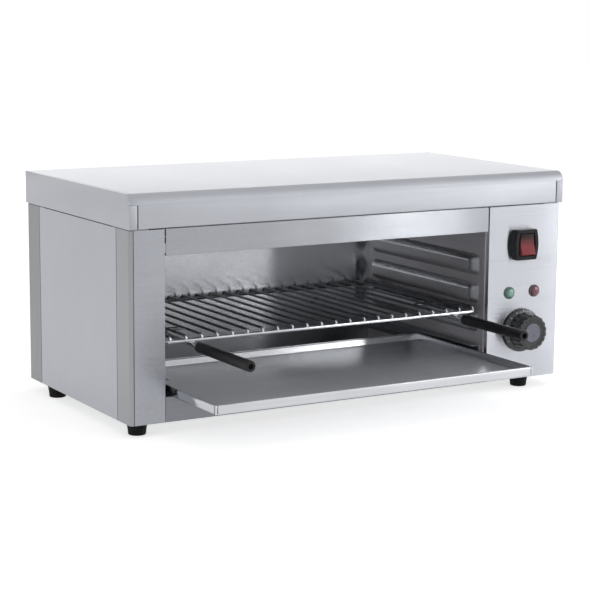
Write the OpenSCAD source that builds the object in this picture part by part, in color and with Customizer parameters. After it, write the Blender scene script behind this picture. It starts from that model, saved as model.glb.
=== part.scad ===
// Counter-top cheese melter: sheet-steel body with an open front, a wire rack and a crumb tray.
// Millimetres, Z up, front towards -Y. The origin lies on the surface under the feet, below the
// middle of the whole footprint, rack handles and cable gland included.

/* [Body] */
// Width across the hood
hood_w = 600; // [560:1:680]
// Depth of the hood, front to back
hood_d = 300; // [285:1:340]
// Height of the hood
hood_h = 39; // [34:1:60]
// Height of the body below the hood
body_h = 221; // [214:1:260]
// Thickness of the sheet steel
sheet = 1; // [0.8:0.1:1.2]
// Outer radius of the roll along the hood's front edge
hood_roll_r = 12; // [8:1:20]
// How far the hood stands out past the body's sides
side_overhang = 1; // [1:0.5:4]
// How far the hood stands out past the body's front
front_overhang = 3; // [2:0.5:8]
// How far the hood stands out past the body's back
back_overhang = 1; // [1:0.5:4]
// Outer radius of the body's vertical corners
corner_r = 4; // [3:0.5:5]
// Width of the joint lines between panels
seam = 1.2; // [0.6:0.1:1.6]
// Width of the wrapped flange at the hood's front corners
hood_flange_w = 9.5; // [7:0.5:14]
// Depth of the hood's bottom returns
hood_return = 12; // [10:1:16]

/* [Front] */
// Width of the left post, over its corner strip
post_w = 43; // [36:1:60]
// Width of the control panel, over its corner strip
control_w = 109; // [104:1:130]
// Height of the bottom front rail
rail_h = 29; // [26:1:40]
// Height of the fascia over the opening
fascia_h = 31.5; // [28:0.5:36]
// How far the fascia is set back from the front
fascia_recess = 1.5; // [1:0.5:4]
// Depth of the returns behind the front panels
return_d = 14; // [12:1:18]
// Depth of the front corner strips on the sides
front_strip_d = 35; // [30:1:50]
// Depth of the rear cover's flanges on the sides
rear_strip_d = 39; // [34:1:50]

/* [Frame] */
// Thickness of the corner uprights
upright_t = 1.5; // [1.2:0.1:2]
// Leg of the uprights along the front and the back
upright_leg = 20; // [18:1:22]
// Height of the base pan's edge flanges
pan_flange_h = 12; // [8:1:16]

/* [Cavity] */
// Space between the cavity's back wall and the rear cover
back_space = 23; // [20:1:40]
// Depth of the cavity ceiling below the hood
ceiling_drop = 10.5; // [10:0.5:15]
// Thickness of the wool on the ceiling
wool_t = 20; // [12:1:24]
// Height of the rack's ledge above the body's underside
rack_ledge_h = 86.5; // [80:0.5:95]
// Number of rack levels
rack_levels = 3; // [1:1:3]
// Spacing of the rack levels
level_pitch = 36; // [30:1:38]
// Height of each pressed ledge panel
ledge_panel_h = 26; // [16:1:28]
// How far the ledge panels stand out of the side walls
ledge_depth = 9; // [7:0.5:11]
// Corner radius of the ledge panels
ledge_r = 7; // [4:0.5:7.5]
// Clearance between the ledge panels' ends and the wall's edges
ledge_end = 11; // [8:1:14]
// Height of the crumb tray's slot
tray_slot_h = 15; // [14:0.5:20]

/* [Rack] */
// Number of long wires
rack_wires = 22; // [16:1:22]
// Distance of the outer long wires from the frame's sides
wire_inset = 5.25; // [4.25:0.5:10.25]
// Diameter of the long wires
wire_d = 3.2; // [2.8:0.2:3.6]
// Diameter of the cross wires
cross_d = 4.5; // [4:0.5:5.5]
// How far the rack bears on each ledge
rack_lap = 4.5; // [3:0.5:5]
// Depth of the rack between the outer cross wires
rack_d = 248; // [220:1:250]
// Distance from the body's front to the rack's front cross wire
rack_inset = 13.5; // [12:0.5:20]
// Height of the long wires above the cross wires
wire_rise = 5.5; // [5:0.5:7]
// Distance of the handle rods from the frame's sides
handle_inset = 32; // [25:1:55]
// Diameter of the handle rods
rod_d = 6; // [5:0.5:7]
// Bare length of the rod ahead of the front cross wire
rod_bare = 20; // [15:1:40]
// Outer diameter of the handle sleeves
handle_d = 12.5; // [11:0.5:16]
// Length of the handle sleeves
handle_len = 120; // [90:1:140]

/* [Crumb tray] */
// Height of the crumb tray
tray_h = 10.5; // [9:0.5:13]
// Clearance between the tray and each side wall
tray_side_gap = 7.5; // [4:0.5:10]
// Depth of the crumb tray
tray_d = 250; // [240:1:270]
// How far the tray stands out of the body
tray_out = 105; // [20:1:150]
// Thickness of the folded front lip
lip_t = 4; // [3:0.5:6]

/* [Controls] */
// Distance from the body's right side to the line of the controls
control_axis = 57; // [54:0.5:60]
// Depth of the switch below the hood
switch_drop = 50; // [45:0.5:58]
// Height of the lamps above the knob
lamp_rise = 48.5; // [42:0.5:54]
// Height of the knob above the body's underside
knob_h = 62; // [56:0.5:70]
// Width of the switch housing
switch_w = 35; // [32:0.5:38]
// Height of the switch housing
switch_tall = 38; // [36:0.5:42]
// How far the switch housing stands out of the panel
switch_out = 9; // [7:0.5:10]
// Radius of the rocker about its pivot
rocker_r = 14; // [12:0.5:14.5]
// Width of the rocker
rocker_w = 21; // [18:0.5:22]
// Swing of the rocker, in degrees
rocker_swing = 18; // [12:1:20]
// Spacing of the two lamps
lamp_spacing = 39; // [32:0.5:42]
// Diameter of the lamp lenses
lens_d = 15.5; // [12:0.5:16]
// Diameter of the control knob over its skirt
knob_d = 55; // [46:0.5:58]
// How far the knob stands out of the panel
knob_out = 25.5; // [17:0.5:30]
// Number of flutes round the knob's grip
knob_flutes = 18; // [8:1:24]
// Diameter of the thermostat shaft
shaft_d = 6; // [5:0.5:7]

/* [Heating] */
// Diameter of the heating elements
element_d = 8; // [6.5:0.5:8.5]
// Spacing of the two legs of a hairpin
hairpin_w = 50; // [40:1:56]
// Spacing of the two hairpins
hairpin_pitch = 110; // [100:1:120]
// Gap between the ceiling and the elements' centre line
element_drop = 12; // [10:0.5:14]

/* [Feet] */
// Height of the feet
foot_h = 14.5; // [12:0.5:30]
// Diameter of a foot at the body
foot_top_d = 24.5; // [22:0.5:30]
// Diameter of a foot at the counter
foot_base_d = 20.5; // [18:0.5:24]
// Distance from the left side to the front left foot
left_foot_inset = 17; // [14:0.5:30]
// Distance from the left side to the rear left foot
rear_left_foot_inset = 13; // [13:0.5:30]
// Distance from the right side to the right feet
right_foot_inset = 43; // [20:0.5:60]
// Distance from the body's front to the front feet
front_foot_inset = 20; // [18:0.5:40]
// Distance from the body's back to the rear feet
rear_foot_inset = 57; // [40:1:80]

/* [Hidden] */

eps = 0.01;                // overlap that keeps joined shapes from meeting face to face
joint_gap = 0.3;           // running gap between pieces that slide past each other
screw_play = 0.2;          // radial play of a screw in its hole
push_gap = 0.1;            // radial play of a rod or shaft in what carries it
round_fn = 48;             // smoothness of round shapes

// Heights
z_body = foot_h;
z_pan = z_body + sheet;
z_hood = z_body + body_h;
z_panel_top = z_hood - seam;
z_top = z_hood + hood_h;
z_rail = z_body + rail_h;
z_slot_top = z_rail + tray_slot_h;
z_ceiling = z_hood - ceiling_drop;
z_opening_top = z_hood - fascia_h;
fascia_gap = 2.4;          // open joint between the post and the fascia
z_ledge = z_body + rack_ledge_h;
z_cross = z_ledge + cross_d / 2;
z_wires = z_cross + wire_rise;
weld = 0.4;                // how far welded wires sink into each other
z_rod = z_cross - (cross_d + rod_d) / 2 + weld;
z_element = z_ceiling - element_drop;
z_switch = z_hood - switch_drop;
z_knob = z_body + knob_h;
z_lamps = z_knob + lamp_rise;

// Front to back
body_d = hood_d - front_overhang - back_overhang;
gland_out = 18;            // how far the cable gland stands out of the rear cover
front_reach = handle_len + rod_bare - rack_inset;
y_front = front_reach - (front_reach + body_d + gland_out) / 2;
y_back = y_front + body_d;
y_panel = y_front + sheet;
y_cover = y_back - sheet;
y_fascia = y_front + fascia_recess;
y_side_front = y_front + front_strip_d;
y_side_back = y_back - rear_strip_d;
y_wall_front = y_front + return_d / 2;
y_cavity_back = y_back - back_space - 2 * sheet;
y_rack = y_front + rack_inset;
y_tray = y_front - tray_out;
y_handle = y_rack - rod_bare;
y_tip = y_handle - handle_len;
y_elements = (y_front + y_cavity_back) / 2;

// Side to side
x_side = hood_w / 2 - side_overhang;
x_post = post_w - x_side;
x_control = x_side - control_w;
x_mid = (x_post + x_control) / 2;
opening_w = x_control - x_post;
x_wall = opening_w / 2 - sheet;          // cavity half width, from x_mid
x_ledge = x_wall - ledge_depth;          // half width between the ledge panels
x_rack = x_ledge + rack_lap;         // half width of the rack
x_tray = x_wall - tray_side_gap;         // half width of the crumb tray
x_axis = x_side - control_axis;          // line of the controls

// Fasteners
m3_d = 3;
m4_d = 4;
m4_hole_d = m4_d + 2 * screw_play;
m5_d = 5;
head_h = 2.2;              // height of a pan head
head_ratio = 1.9;          // pan head diameter over thread diameter

screw_grip = 6;            // length of a screw's shank
front_left_spot = [left_foot_inset - x_side, y_front + front_foot_inset];
rear_left_spot = [rear_left_foot_inset - x_side, y_back - rear_foot_inset];
front_right_spot = [x_side - right_foot_inset, y_front + front_foot_inset];
rear_right_spot = [x_side - right_foot_inset, y_back - rear_foot_inset];
foot_spots = [front_left_spot, rear_left_spot, front_right_spot, rear_right_spot];
foot_recess = 4.5;         // depth of the screw's recess under a foot
foot_head_d = 9;           // diameter of a foot screw's head
foot_head_lift = 1.5;      // height of a foot screw's head above the counter
nut_h = 4;

// Uprights: plan sizes from the body's outer corner
tab_w = 18;                // side of the tab at the top of an upright
tab_hole = [11, 7];        // place of the hood screw in the tab
upright_lap = 12;          // how far an upright laps behind the side panel
cover_screw_in = 11;       // distance of the rear cover's screws from the side
cover_screw_heights = [z_body + 20, z_body + body_h / 2, z_hood - 25];

// Hood
y_hood_front = y_front - front_overhang;
y_hood_back = y_back + back_overhang;
z_roll = z_top - hood_roll_r;

// Rack
frame_r = 8;               // bend radius of the rack's frame, on the wire's centre line
wire_bend_r = 3;           // bend radius at the ends of the long wires
x_frame = x_rack - cross_d / 2;
wire_pitch = 2 * (x_frame - wire_inset) / (rack_wires - 1);
x_handle = x_frame - handle_inset;    // half the spacing of the handle rods
tie_half = 0.9 * wire_pitch;          // half length of the bar that ties a rod to the long wires
rod_run = 62;              // how far the handle rods run back under the rack
z_tie = z_wires - (wire_d + cross_d) / 2 + weld;
rod_grip = 10;             // how far a rod ends short of its sleeve's tip

// Crumb tray
z_tray = z_rail + joint_gap;
runner_leg = 12;           // width of the runners' legs

// Heating
element_run = 25;          // how far the elements reach past the cavity wall
pin_len = 8;               // length of an element's terminal pin
pin_d = 4;
bush_d = 12;               // diameter of a bush in the cavity wall
bush_flange_d = 16;
bush_flange_t = 3;
bend_inset = 40;           // distance of the hairpins' bends from the left cavity wall
hanger_t = 1.5;
hanger_len = 180;          // length of a hanger, front to back
hanger_offset = 120;       // distance of a hanger from the middle of the cavity
hanger_foot = 8;           // half width of a hanger's flange
leg_spots = [
  y_elements - (hairpin_pitch + hairpin_w) / 2, y_elements - (hairpin_pitch - hairpin_w) / 2,
  y_elements + (hairpin_pitch - hairpin_w) / 2, y_elements + (hairpin_pitch + hairpin_w) / 2
];
x_pins = x_control + element_run + pin_len;

// Controls
switch_body_w = 27;
switch_body_h = 34;
switch_depth = 24;         // depth of the switch behind the panel
pocket_floor = 3;          // depth of the rocker's pocket behind the panel's face
pivot_in = 3.8;            // distance of the rocker's pivot behind the housing's face
pivot_d = 3;
pivot_play = 0.06;
y_pivot = y_front - switch_out + pivot_in;
housing_bulge_r = 60;      // radius of the housing's bulging sides
lamp_hole_d = 10.4;
lamp_depth = 22;
lamp_nut_d = 15;
thermostat_w = 34;
thermostat_depth = 30;
thermostat_bush_d = 10;
thermostat_bush_out = 1;   // how far the bush stands out of the panel
thermostat_screw_x = 14;   // distance of the thermostat's screws from its shaft
knob_gap = 1.2;            // gap between the knob's skirt and the panel
knob_recess = 2.8;         // depth of the recess behind the knob
knob_skirt_t = 5;          // thickness of the skirt
knob_rim_w = 4.5;          // width of the skirt outside the grip
knob_grip_d = knob_d - 2 * knob_rim_w;
shaft_tip = 5;             // distance of the shaft's tip behind the knob's face
shaft_root = 18;           // depth of the shaft's foot behind the panel's face
bulb_d = 6;
bulb_len = 40;
capillary_d = 2;
x_capillary = x_control + 15;

// Mains connection
x_gland = x_axis;
z_gland = z_body + 30;
gland_bore_d = 8.5;
gland_thread_d = 16;
gland_hex_d = 22;
gland_hex_t = 5;
gland_dome_d = 18;
gland_inside = 9;          // length of the gland's thread behind the cover's outer face
block_w = 50;
block_d = 18;
block_h = 18;
block_pole_d = 9;
block_pole_h = 3;
block_inset = 40;          // distance of the terminal block behind the cover's outer face
y_block = y_back - block_inset;
z_block = z_pan + block_h + block_pole_h;
lead_d = 2.6;
lead_offset = 8;           // distance of the leads from the line of the controls

steel = "gainsboro";
bright = "whitesmoke";
mirror_steel = "lightgray";
dark_steel = "dimgray";
black = "#1c1c1e";

// ---- shared shapes ----

// Block between two opposite corners
module block(low, high) translate(low) cube(high - low);

// Round bar along X from x0 to x1
module bar_x(y, z, d, x0, x1)
  translate([x0, y, z]) rotate([0, 90, 0]) cylinder(d = d, h = x1 - x0, $fn = round_fn);

// Round bar along Y from y0 to y1
module bar_y(x, z, d, y0, y1)
  translate([x, y0, z]) rotate([-90, 0, 0]) cylinder(d = d, h = y1 - y0, $fn = round_fn);

// Hexagonal bar along Y from y0 to y1
module hexagon_y(x, z, d, y0, y1)
  translate([x, y0, z]) rotate([-90, 0, 0]) cylinder(d = d, h = y1 - y0, $fn = 6);

// Round bar along Z from z0 to z1
module bar_z(x, y, d, z0, z1) translate([x, y, z0]) cylinder(d = d, h = z1 - z0, $fn = round_fn);

// Outline drawn in Y and Z, extruded along X from x0 to x1
module along_x(x0, x1) translate([x0, 0, 0]) rotate([90, 0, 90]) linear_extrude(x1 - x0) children();

// Outline drawn in X and Z, extruded along Y from y0 to y1
module along_y(y0, y1) translate([0, y1, 0]) rotate([90, 0, 0]) linear_extrude(y1 - y0) children();

// Rectangle between two opposite corners
module rect(low, high) translate(low) square(high - low);

// Rectangle with rounded corners, between two opposite corners
module round_rect(low, high, r) {
  rect(low + [r, 0], high - [r, 0]);
  rect(low + [0, r], high - [0, r]);
  for (x = [low[0] + r, high[0] - r], y = [low[1] + r, high[1] - r])
    translate([x, y]) circle(r, $fn = round_fn);
}

// Upright slot with round ends, about the middle of its length
module slot(length, w) {
  square([w, length - w], center = true);
  for (end = [-1, 1]) translate([0, end * (length - w) / 2]) circle(d = w, $fn = round_fn);
}

// Quarter of a ring of sheet in the quarter plane towards sx and sy, centred on the origin
module quarter_ring(r, sx, sy) {
  intersection() {
    difference() {
      circle(r, $fn = round_fn);
      circle(r - sheet, $fn = round_fn);
    }
    translate([min(0, sx * r), min(0, sy * r)]) square(r);
  }
}

// Quarter of a bent wire that starts along +X at [r, 0, 0] and turns towards +Y
module wire_bend(r, d) rotate_extrude(angle = 90, $fn = round_fn) translate([r, 0]) circle(d = d, $fn = 24);

// Pan head screw whose head stands on Z = 0 and whose shank points down
module screw(d, grip) {
  cylinder(d = head_ratio * d, h = head_h, $fn = round_fn);
  translate([0, 0, -grip]) cylinder(d = d, h = grip + eps, $fn = round_fn);
}

// Shapes mirrored about the middle of the cavity
module across_cavity() translate([x_mid, 0, 0]) mirror([1, 0, 0]) translate([-x_mid, 0, 0]) children();

// Round lead through a list of points, each step along one axis
module lead(points, d) {
  for (i = [0 : len(points) - 2]) {
    p = points[i];
    q = points[i + 1];
    step = q - p;
    reach = norm(step);
    translate(p)
      rotate([0, acos(step[2] / reach), atan2(step[1], step[0])])
        cylinder(d = d, h = reach, $fn = 16);
    if (i > 0) translate(p) sphere(d = d, $fn = 16);
  }
}

// ---- body panels ----

module base_pan() color(dark_steel) {
  inset = upright_lap + joint_gap;
  difference() {
    union() {
      block([sheet - x_side, y_front + corner_r, z_body], [x_side - sheet, y_back - corner_r, z_pan]);
      block([corner_r - x_side, y_panel, z_body], [x_side - corner_r, y_cover, z_pan]);
      for (x = [sheet - x_side, x_side - 2 * sheet])
        block([x, y_side_front + inset, z_pan - eps],
              [x + sheet, y_side_back - inset, z_pan + pan_flange_h]);
      block([corner_r + upright_leg + inset - x_side, y_cover - sheet, z_pan - eps],
            [x_side - corner_r - upright_leg - inset, y_cover, z_pan + pan_flange_h]);
    }
    for (spot = foot_spots)
      bar_z(spot[0], spot[1], m5_d + 2 * screw_play, z_body - sheet, z_pan + sheet);
  }
}

module bottom_front_rail() color(steel) {
  block([x_post + seam / 2, y_front, z_body], [x_control - seam / 2, y_panel, z_rail]);
  block([x_mid - x_wall + joint_gap, y_front, z_rail - sheet],
        [x_mid + x_wall - joint_gap, y_front + return_d, z_rail]);
}

module front_left_post() color(steel) {
  block([corner_r + seam - x_side, y_front, z_body], [x_post, y_panel, z_panel_top]);
  block([x_post - sheet, y_front, z_pan + eps], [x_post, y_front + return_d, z_panel_top]);
}

// Plan of the corner strip at the left front corner
module corner_plan() {
  translate([corner_r - x_side, y_front + corner_r]) quarter_ring(corner_r, -1, -1);
  rect([-x_side, y_front + corner_r - eps], [sheet - x_side, y_side_front - seam / 2]);
}

module left_corner_strip() color(steel)
  translate([0, 0, z_body]) linear_extrude(z_panel_top - z_body) corner_plan();

module left_side_panel() color(steel)
  block([-x_side, y_side_front + seam / 2, z_body], [sheet - x_side, y_side_back - seam / 2, z_panel_top]);

module right_side_panel() color(steel) {
  slot_len = 60;
  slot_h = 4;
  slot_pitch = 11;
  difference() {
    block([x_side - sheet, y_side_front + seam / 2, z_body], [x_side, y_side_back - seam / 2, z_panel_top]);
    for (row = [0 : 5])
      along_x(x_side - 2 * sheet, x_side + sheet)
        translate([y_side_back - slot_len, z_body + 50 + row * slot_pitch]) rotate(90) slot(slot_len, slot_h);
  }
}

module control_panel() color(bright) difference() {
  union() {
    translate([0, 0, z_body]) linear_extrude(z_panel_top - z_body) {
      mirror([1, 0]) corner_plan();
      rect([x_control, y_front], [x_side - corner_r + eps, y_panel]);
    }
    block([x_control, y_front, z_pan + eps], [x_control + sheet, y_front + return_d, z_panel_top]);
  }
  along_y(y_front - sheet, y_panel + sheet)
    rect([x_axis - switch_body_w / 2 - joint_gap, z_switch - switch_body_h / 2 - joint_gap],
         [x_axis + switch_body_w / 2 + joint_gap, z_switch + switch_body_h / 2 + joint_gap]);
  for (side = [-1, 1]) {
    bar_y(x_axis + side * lamp_spacing / 2, z_lamps, lamp_hole_d, y_front - sheet, y_panel + sheet);
    bar_y(x_axis + side * thermostat_screw_x, z_knob, m4_hole_d, y_front - sheet, y_panel + sheet);
  }
  bar_y(x_axis, z_knob, thermostat_bush_d + 2 * screw_play, y_front - sheet, y_panel + sheet);
}

module rear_cover() color("darkgray") {
  slot_w = 4;
  slot_tall = 36;
  slot_pitch = 10;
  slot_drops = [111, 56];    // depths of the slots' middles below the hood
  difference() {
    translate([0, 0, z_body]) linear_extrude(z_panel_top - z_body) intersection() {
      difference() {
        round_rect([-x_side, y_front], [x_side, y_back], corner_r);
        round_rect([sheet - x_side, y_front + sheet], [x_side - sheet, y_cover], corner_r - sheet);
      }
      rect([-x_side, y_side_back + seam / 2], [x_side, y_back]);
    }
    for (x = [-1, 1] * (x_side - cover_screw_in), z = cover_screw_heights)
      bar_y(x, z, m3_d + 2 * screw_play, y_cover - sheet, y_back + sheet);
    for (column = [-3 : 3], z = z_hood * [1, 1] - slot_drops)
      along_y(y_cover - sheet, y_back + sheet)
        translate([x_axis + column * slot_pitch, z]) slot(slot_tall, slot_w);
    bar_y(x_gland, z_gland, gland_thread_d + 2 * screw_play, y_cover - sheet, y_back + sheet);
  }
}

// ---- frame ----

// Upright at the left front corner, with its side leg lapping strip_d of the side
module corner_upright(strip_d) {
  side_leg = strip_d + upright_lap;
  front_leg = corner_r + upright_leg;
  inner = sheet + upright_t;
  bend = corner_r + upright_t / 2;
  difference() {
    union() {
      translate([0, 0, z_pan]) linear_extrude(z_hood - z_pan)
        polygon([[front_leg, sheet], [corner_r, sheet], [sheet, corner_r], [sheet, side_leg],
                 [inner, side_leg], [inner, bend], [bend, inner], [front_leg, inner]]);
      translate([0, 0, z_hood - upright_t]) linear_extrude(upright_t)
        polygon([[corner_r, sheet], [tab_w, sheet], [tab_w, tab_w], [sheet, tab_w], [sheet, corner_r]]);
    }
    bar_z(tab_hole[0], tab_hole[1], m4_hole_d, z_hood - 2 * upright_t, z_hood + sheet);
  }
}

module front_left_upright() color(dark_steel)
  translate([-x_side, y_front, 0]) corner_upright(front_strip_d);

module front_right_upright() color(dark_steel)
  translate([x_side, y_front, 0]) mirror([1, 0, 0]) corner_upright(front_strip_d);

// Rear upright at the left, drilled for the rear cover's screws
module rear_upright() difference() {
  translate([-x_side, y_back, 0]) mirror([0, 1, 0]) corner_upright(rear_strip_d);
  for (z = cover_screw_heights)
    bar_y(cover_screw_in - x_side, z, m3_d + 2 * screw_play, y_back - 2 * sheet - 2 * upright_t, y_back);
}

module rear_left_upright() color(dark_steel) rear_upright();

module rear_right_upright() color(dark_steel) mirror([1, 0, 0]) rear_upright();

module rear_cover_screws() color(bright)
  for (x = [-1, 1] * (x_side - cover_screw_in), z = cover_screw_heights)
    translate([x, y_back, z]) rotate([-90, 0, 0]) screw(m3_d, screw_grip);

// ---- hood ----

module hood() color(bright) {
  half = hood_w / 2 - sheet;
  difference() {
    along_x(-half, half) {
      rect([y_hood_front + hood_roll_r, z_top - sheet], [y_hood_back, z_top]);
      translate([y_hood_front + hood_roll_r, z_roll]) quarter_ring(hood_roll_r, -1, 1);
      rect([y_hood_front, z_hood], [y_hood_front + sheet, z_roll]);
      rect([y_hood_front, z_hood], [y_hood_front + sheet + hood_return, z_hood + sheet]);
      rect([y_hood_back - sheet, z_hood], [y_hood_back, z_top]);
      rect([y_hood_back - sheet - hood_return, z_hood], [y_hood_back, z_hood + sheet]);
    }
    for (side = [0, 1]) mirror([side, 0, 0]) {
      block([-hood_w / 2, y_hood_front - sheet, z_hood - sheet],
            [hood_flange_w + seam - hood_w / 2, y_hood_front + sheet, z_roll]);
      for (y = [y_front + tab_hole[1], y_back - tab_hole[1]])
        bar_z(tab_hole[0] - x_side, y, m4_hole_d, z_hood - sheet, z_hood + 2 * sheet);
    }
  }
}

// Left end plate of the hood, with its front flange and bottom return
module hood_end() {
  face = -hood_w / 2;
  return_gap = sheet + hood_return + seam;
  along_x(face, face + sheet) {
    rect([y_hood_front + hood_roll_r, z_hood], [y_hood_back, z_top]);
    rect([y_hood_front, z_hood], [y_hood_front + hood_roll_r + eps, z_roll]);
    intersection() {
      translate([y_hood_front + hood_roll_r, z_roll]) circle(hood_roll_r, $fn = round_fn);
      rect([y_hood_front, z_roll - eps], [y_hood_front + hood_roll_r + eps, z_top]);
    }
  }
  block([face, y_hood_front, z_hood], [face + hood_flange_w, y_hood_front + sheet, z_roll]);
  block([face, y_hood_front + return_gap, z_hood],
        [face + sheet + hood_return, y_hood_back - return_gap, z_hood + sheet]);
}

module hood_left_end() color(steel) hood_end();

module hood_right_end() color(steel) mirror([1, 0, 0]) hood_end();

module hood_screws() color(bright)
  for (x = [-1, 1] * (x_side - tab_hole[0]), y = [y_front + tab_hole[1], y_back - tab_hole[1]])
    translate([x, y, z_hood - upright_t]) rotate([180, 0, 0]) screw(m4_d, screw_grip);

module top_front_fascia() color(steel) {
  block([x_post + fascia_gap, y_fascia, z_opening_top],
        [x_control - seam / 2, y_fascia + sheet, z_panel_top]);
  block([x_mid - x_wall + joint_gap, y_fascia, z_opening_top],
        [x_mid + x_wall - joint_gap, y_fascia + return_d, z_opening_top + sheet]);
}

// ---- cavity ----

// Left cavity wall with its pressed ledge panels
module cavity_wall() {
  face = x_mid - x_wall;
  y0 = y_wall_front + ledge_end;
  y1 = y_cavity_back - ledge_end;
  difference() {
    union() {
      block([face - sheet, y_wall_front, z_pan], [face, y_cavity_back, z_ceiling + sheet]);
      for (level = [0 : rack_levels - 1]) {
        z1 = z_ledge + level * level_pitch;
        along_x(face - eps, face + ledge_depth) round_rect([y0, z1 - ledge_panel_h], [y1, z1], ledge_r);
      }
    }
    for (level = [0 : rack_levels - 1]) {
      z1 = z_ledge + level * level_pitch;
      along_x(face - 2 * sheet, face + ledge_depth - sheet)
        round_rect([y0 + sheet, z1 - ledge_panel_h + sheet], [y1 - sheet, z1 - sheet], ledge_r - sheet);
    }
  }
}

module left_cavity_wall() color(mirror_steel) cavity_wall();

module right_cavity_wall() color(mirror_steel) difference() {
  across_cavity() cavity_wall();
  for (y = leg_spots)
    bar_x(y, z_element, bush_d + 2 * screw_play, x_control - 2 * sheet, x_control + sheet);
  bar_x(y_elements, z_element, capillary_d + 2 * joint_gap, x_control - 2 * sheet, x_control + sheet);
}

module back_cavity_wall() color(mirror_steel)
  block([x_post, y_cavity_back, z_pan], [x_control, y_cavity_back + sheet, z_ceiling + sheet]);

module ceiling_reflector() color(mirror_steel)
  block([x_mid - x_wall, y_fascia + sheet, z_ceiling], [x_mid + x_wall, y_cavity_back, z_ceiling + sheet]);

module ceiling_wool() color("ivory")
  block([x_mid - x_wall, y_front + return_d, z_ceiling + sheet],
        [x_mid + x_wall, y_cavity_back, z_ceiling + sheet + wool_t]);

// Left runner: a channel that holds the crumb tray's side
module tray_runner() {
  face = x_mid - x_wall;
  y0 = y_front + return_d + joint_gap;
  block([face, y0, z_rail - sheet], [face + sheet, y_cavity_back, z_slot_top + sheet]);
  for (z = [z_rail - sheet, z_slot_top]) block([face, y0, z], [face + runner_leg, y_cavity_back, z + sheet]);
}

module left_tray_runner() color(steel) tray_runner();

module right_tray_runner() color(steel) across_cavity() tray_runner();

// ---- heating ----

// Hairpin element whose legs lie half a hairpin either side of y
module hairpin(y) {
  x_bend = x_mid - x_wall + bend_inset;
  for (side = [-1, 1]) {
    bar_x(y + side * hairpin_w / 2, z_element, element_d, x_bend, x_control + element_run);
    bar_x(y + side * hairpin_w / 2, z_element, pin_d, x_control + element_run - eps, x_pins);
  }
  translate([x_bend, y, z_element]) rotate([0, 0, 90])
    rotate_extrude(angle = 180, $fn = round_fn) translate([hairpin_w / 2, 0]) circle(d = element_d, $fn = 24);
}

module front_element() color(dark_steel) hairpin(y_elements - hairpin_pitch / 2);

module rear_element() color(dark_steel) hairpin(y_elements + hairpin_pitch / 2);

module element_bushes() color("ivory")
  for (y = leg_spots) difference() {
    union() {
      bar_x(y, z_element, bush_flange_d, x_control, x_control + bush_flange_t);
      bar_x(y, z_element, bush_d, x_control - 2 * sheet, x_control + eps);
    }
    bar_x(y, z_element, element_d + 2 * screw_play, x_control - 3 * sheet, x_control + 2 * bush_flange_t);
  }

// Hanger under the ceiling that carries both hairpins at x
module element_hanger(x) difference() {
  union() {
    block([x, y_elements - hanger_len / 2, z_element - element_d],
          [x + hanger_t, y_elements + hanger_len / 2, z_ceiling]);
    block([x, y_elements - hanger_len / 2, z_ceiling - hanger_t],
          [x + hanger_foot, y_elements + hanger_len / 2, z_ceiling]);
  }
  for (y = leg_spots) bar_x(y, z_element, element_d + 2 * screw_play, x - hanger_t, x + 2 * hanger_t);
}

module left_element_hanger() color(steel) element_hanger(x_mid - hanger_offset);

module right_element_hanger() color(steel) element_hanger(x_mid + hanger_offset);

// ---- rack ----

module wire_rack() color(bright) {
  y_end = y_rack + rack_d;
  for (side = [-1, 1]) {
    bar_y(x_mid + side * x_frame, z_cross, cross_d, y_rack + frame_r, y_end - frame_r);
    x_rod = x_mid + side * x_handle;
    bar_y(x_rod, z_rod, rod_d, y_tip + rod_grip, y_rack + rod_run);
    bar_z(x_rod, y_rack + rod_run, cross_d, z_rod, z_tie);
    bar_x(y_rack + rod_run, z_tie, cross_d, x_rod - tie_half, x_rod + tie_half);
  }
  for (y = [y_rack, y_end])
    bar_x(y, z_cross, cross_d, x_mid - x_frame + frame_r, x_mid + x_frame - frame_r);
  for (corner = [0 : 3]) {
    sx = corner == 0 || corner == 3 ? 1 : -1;
    centre = [x_mid + sx * (x_frame - frame_r), corner < 2 ? y_end - frame_r : y_rack + frame_r, z_cross];
    translate(centre) rotate([0, 0, 90 * corner]) wire_bend(frame_r, cross_d);
  }
  for (i = [0 : rack_wires - 1]) long_wire(x_mid + (i - (rack_wires - 1) / 2) * wire_pitch);
}

// Long wire of the rack at x, turned down at both ends onto the frame
module long_wire(x) translate([x, 0, 0]) {
  y_end = y_rack + rack_d;
  z_bend = z_wires - wire_bend_r;
  bar_y(0, z_wires, wire_d, y_rack + wire_bend_r, y_end - wire_bend_r);
  for (y = [y_rack, y_end]) bar_z(0, y, wire_d, z_cross, z_bend);
  translate([0, y_end - wire_bend_r, z_bend]) rotate([90, 0, 90]) wire_bend(wire_bend_r, wire_d);
  translate([0, y_rack + wire_bend_r, z_bend]) rotate([90, 0, -90]) wire_bend(wire_bend_r, wire_d);
}

// Sleeve over one handle rod
module handle_sleeve(side) difference() {
  x = x_mid + side * x_handle;
  bar_y(x, z_rod, handle_d, y_tip, y_handle);
  bar_y(x, z_rod, rod_d + 2 * push_gap, y_tip - sheet, y_handle + sheet);
}

module left_rack_handle() color(black) handle_sleeve(-1);

module right_rack_handle() color(black) handle_sleeve(1);

// ---- crumb tray ----

module crumb_tray() color(bright) {
  left = x_mid - x_tray;
  right = x_mid + x_tray;
  rear = y_tray + tray_d;
  rim = z_tray + tray_h;
  block([left, y_tray + lip_t / 2, z_tray], [right, rear, z_tray + sheet]);
  for (x = [left, right - sheet]) block([x, y_tray + lip_t / 2, z_tray], [x + sheet, rear, rim]);
  block([left, rear - sheet, z_tray], [right, rear, rim]);
  along_x(left, right) round_rect([y_tray, z_tray], [y_tray + lip_t, rim], sheet);
}

// ---- switch and lamps ----

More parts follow.
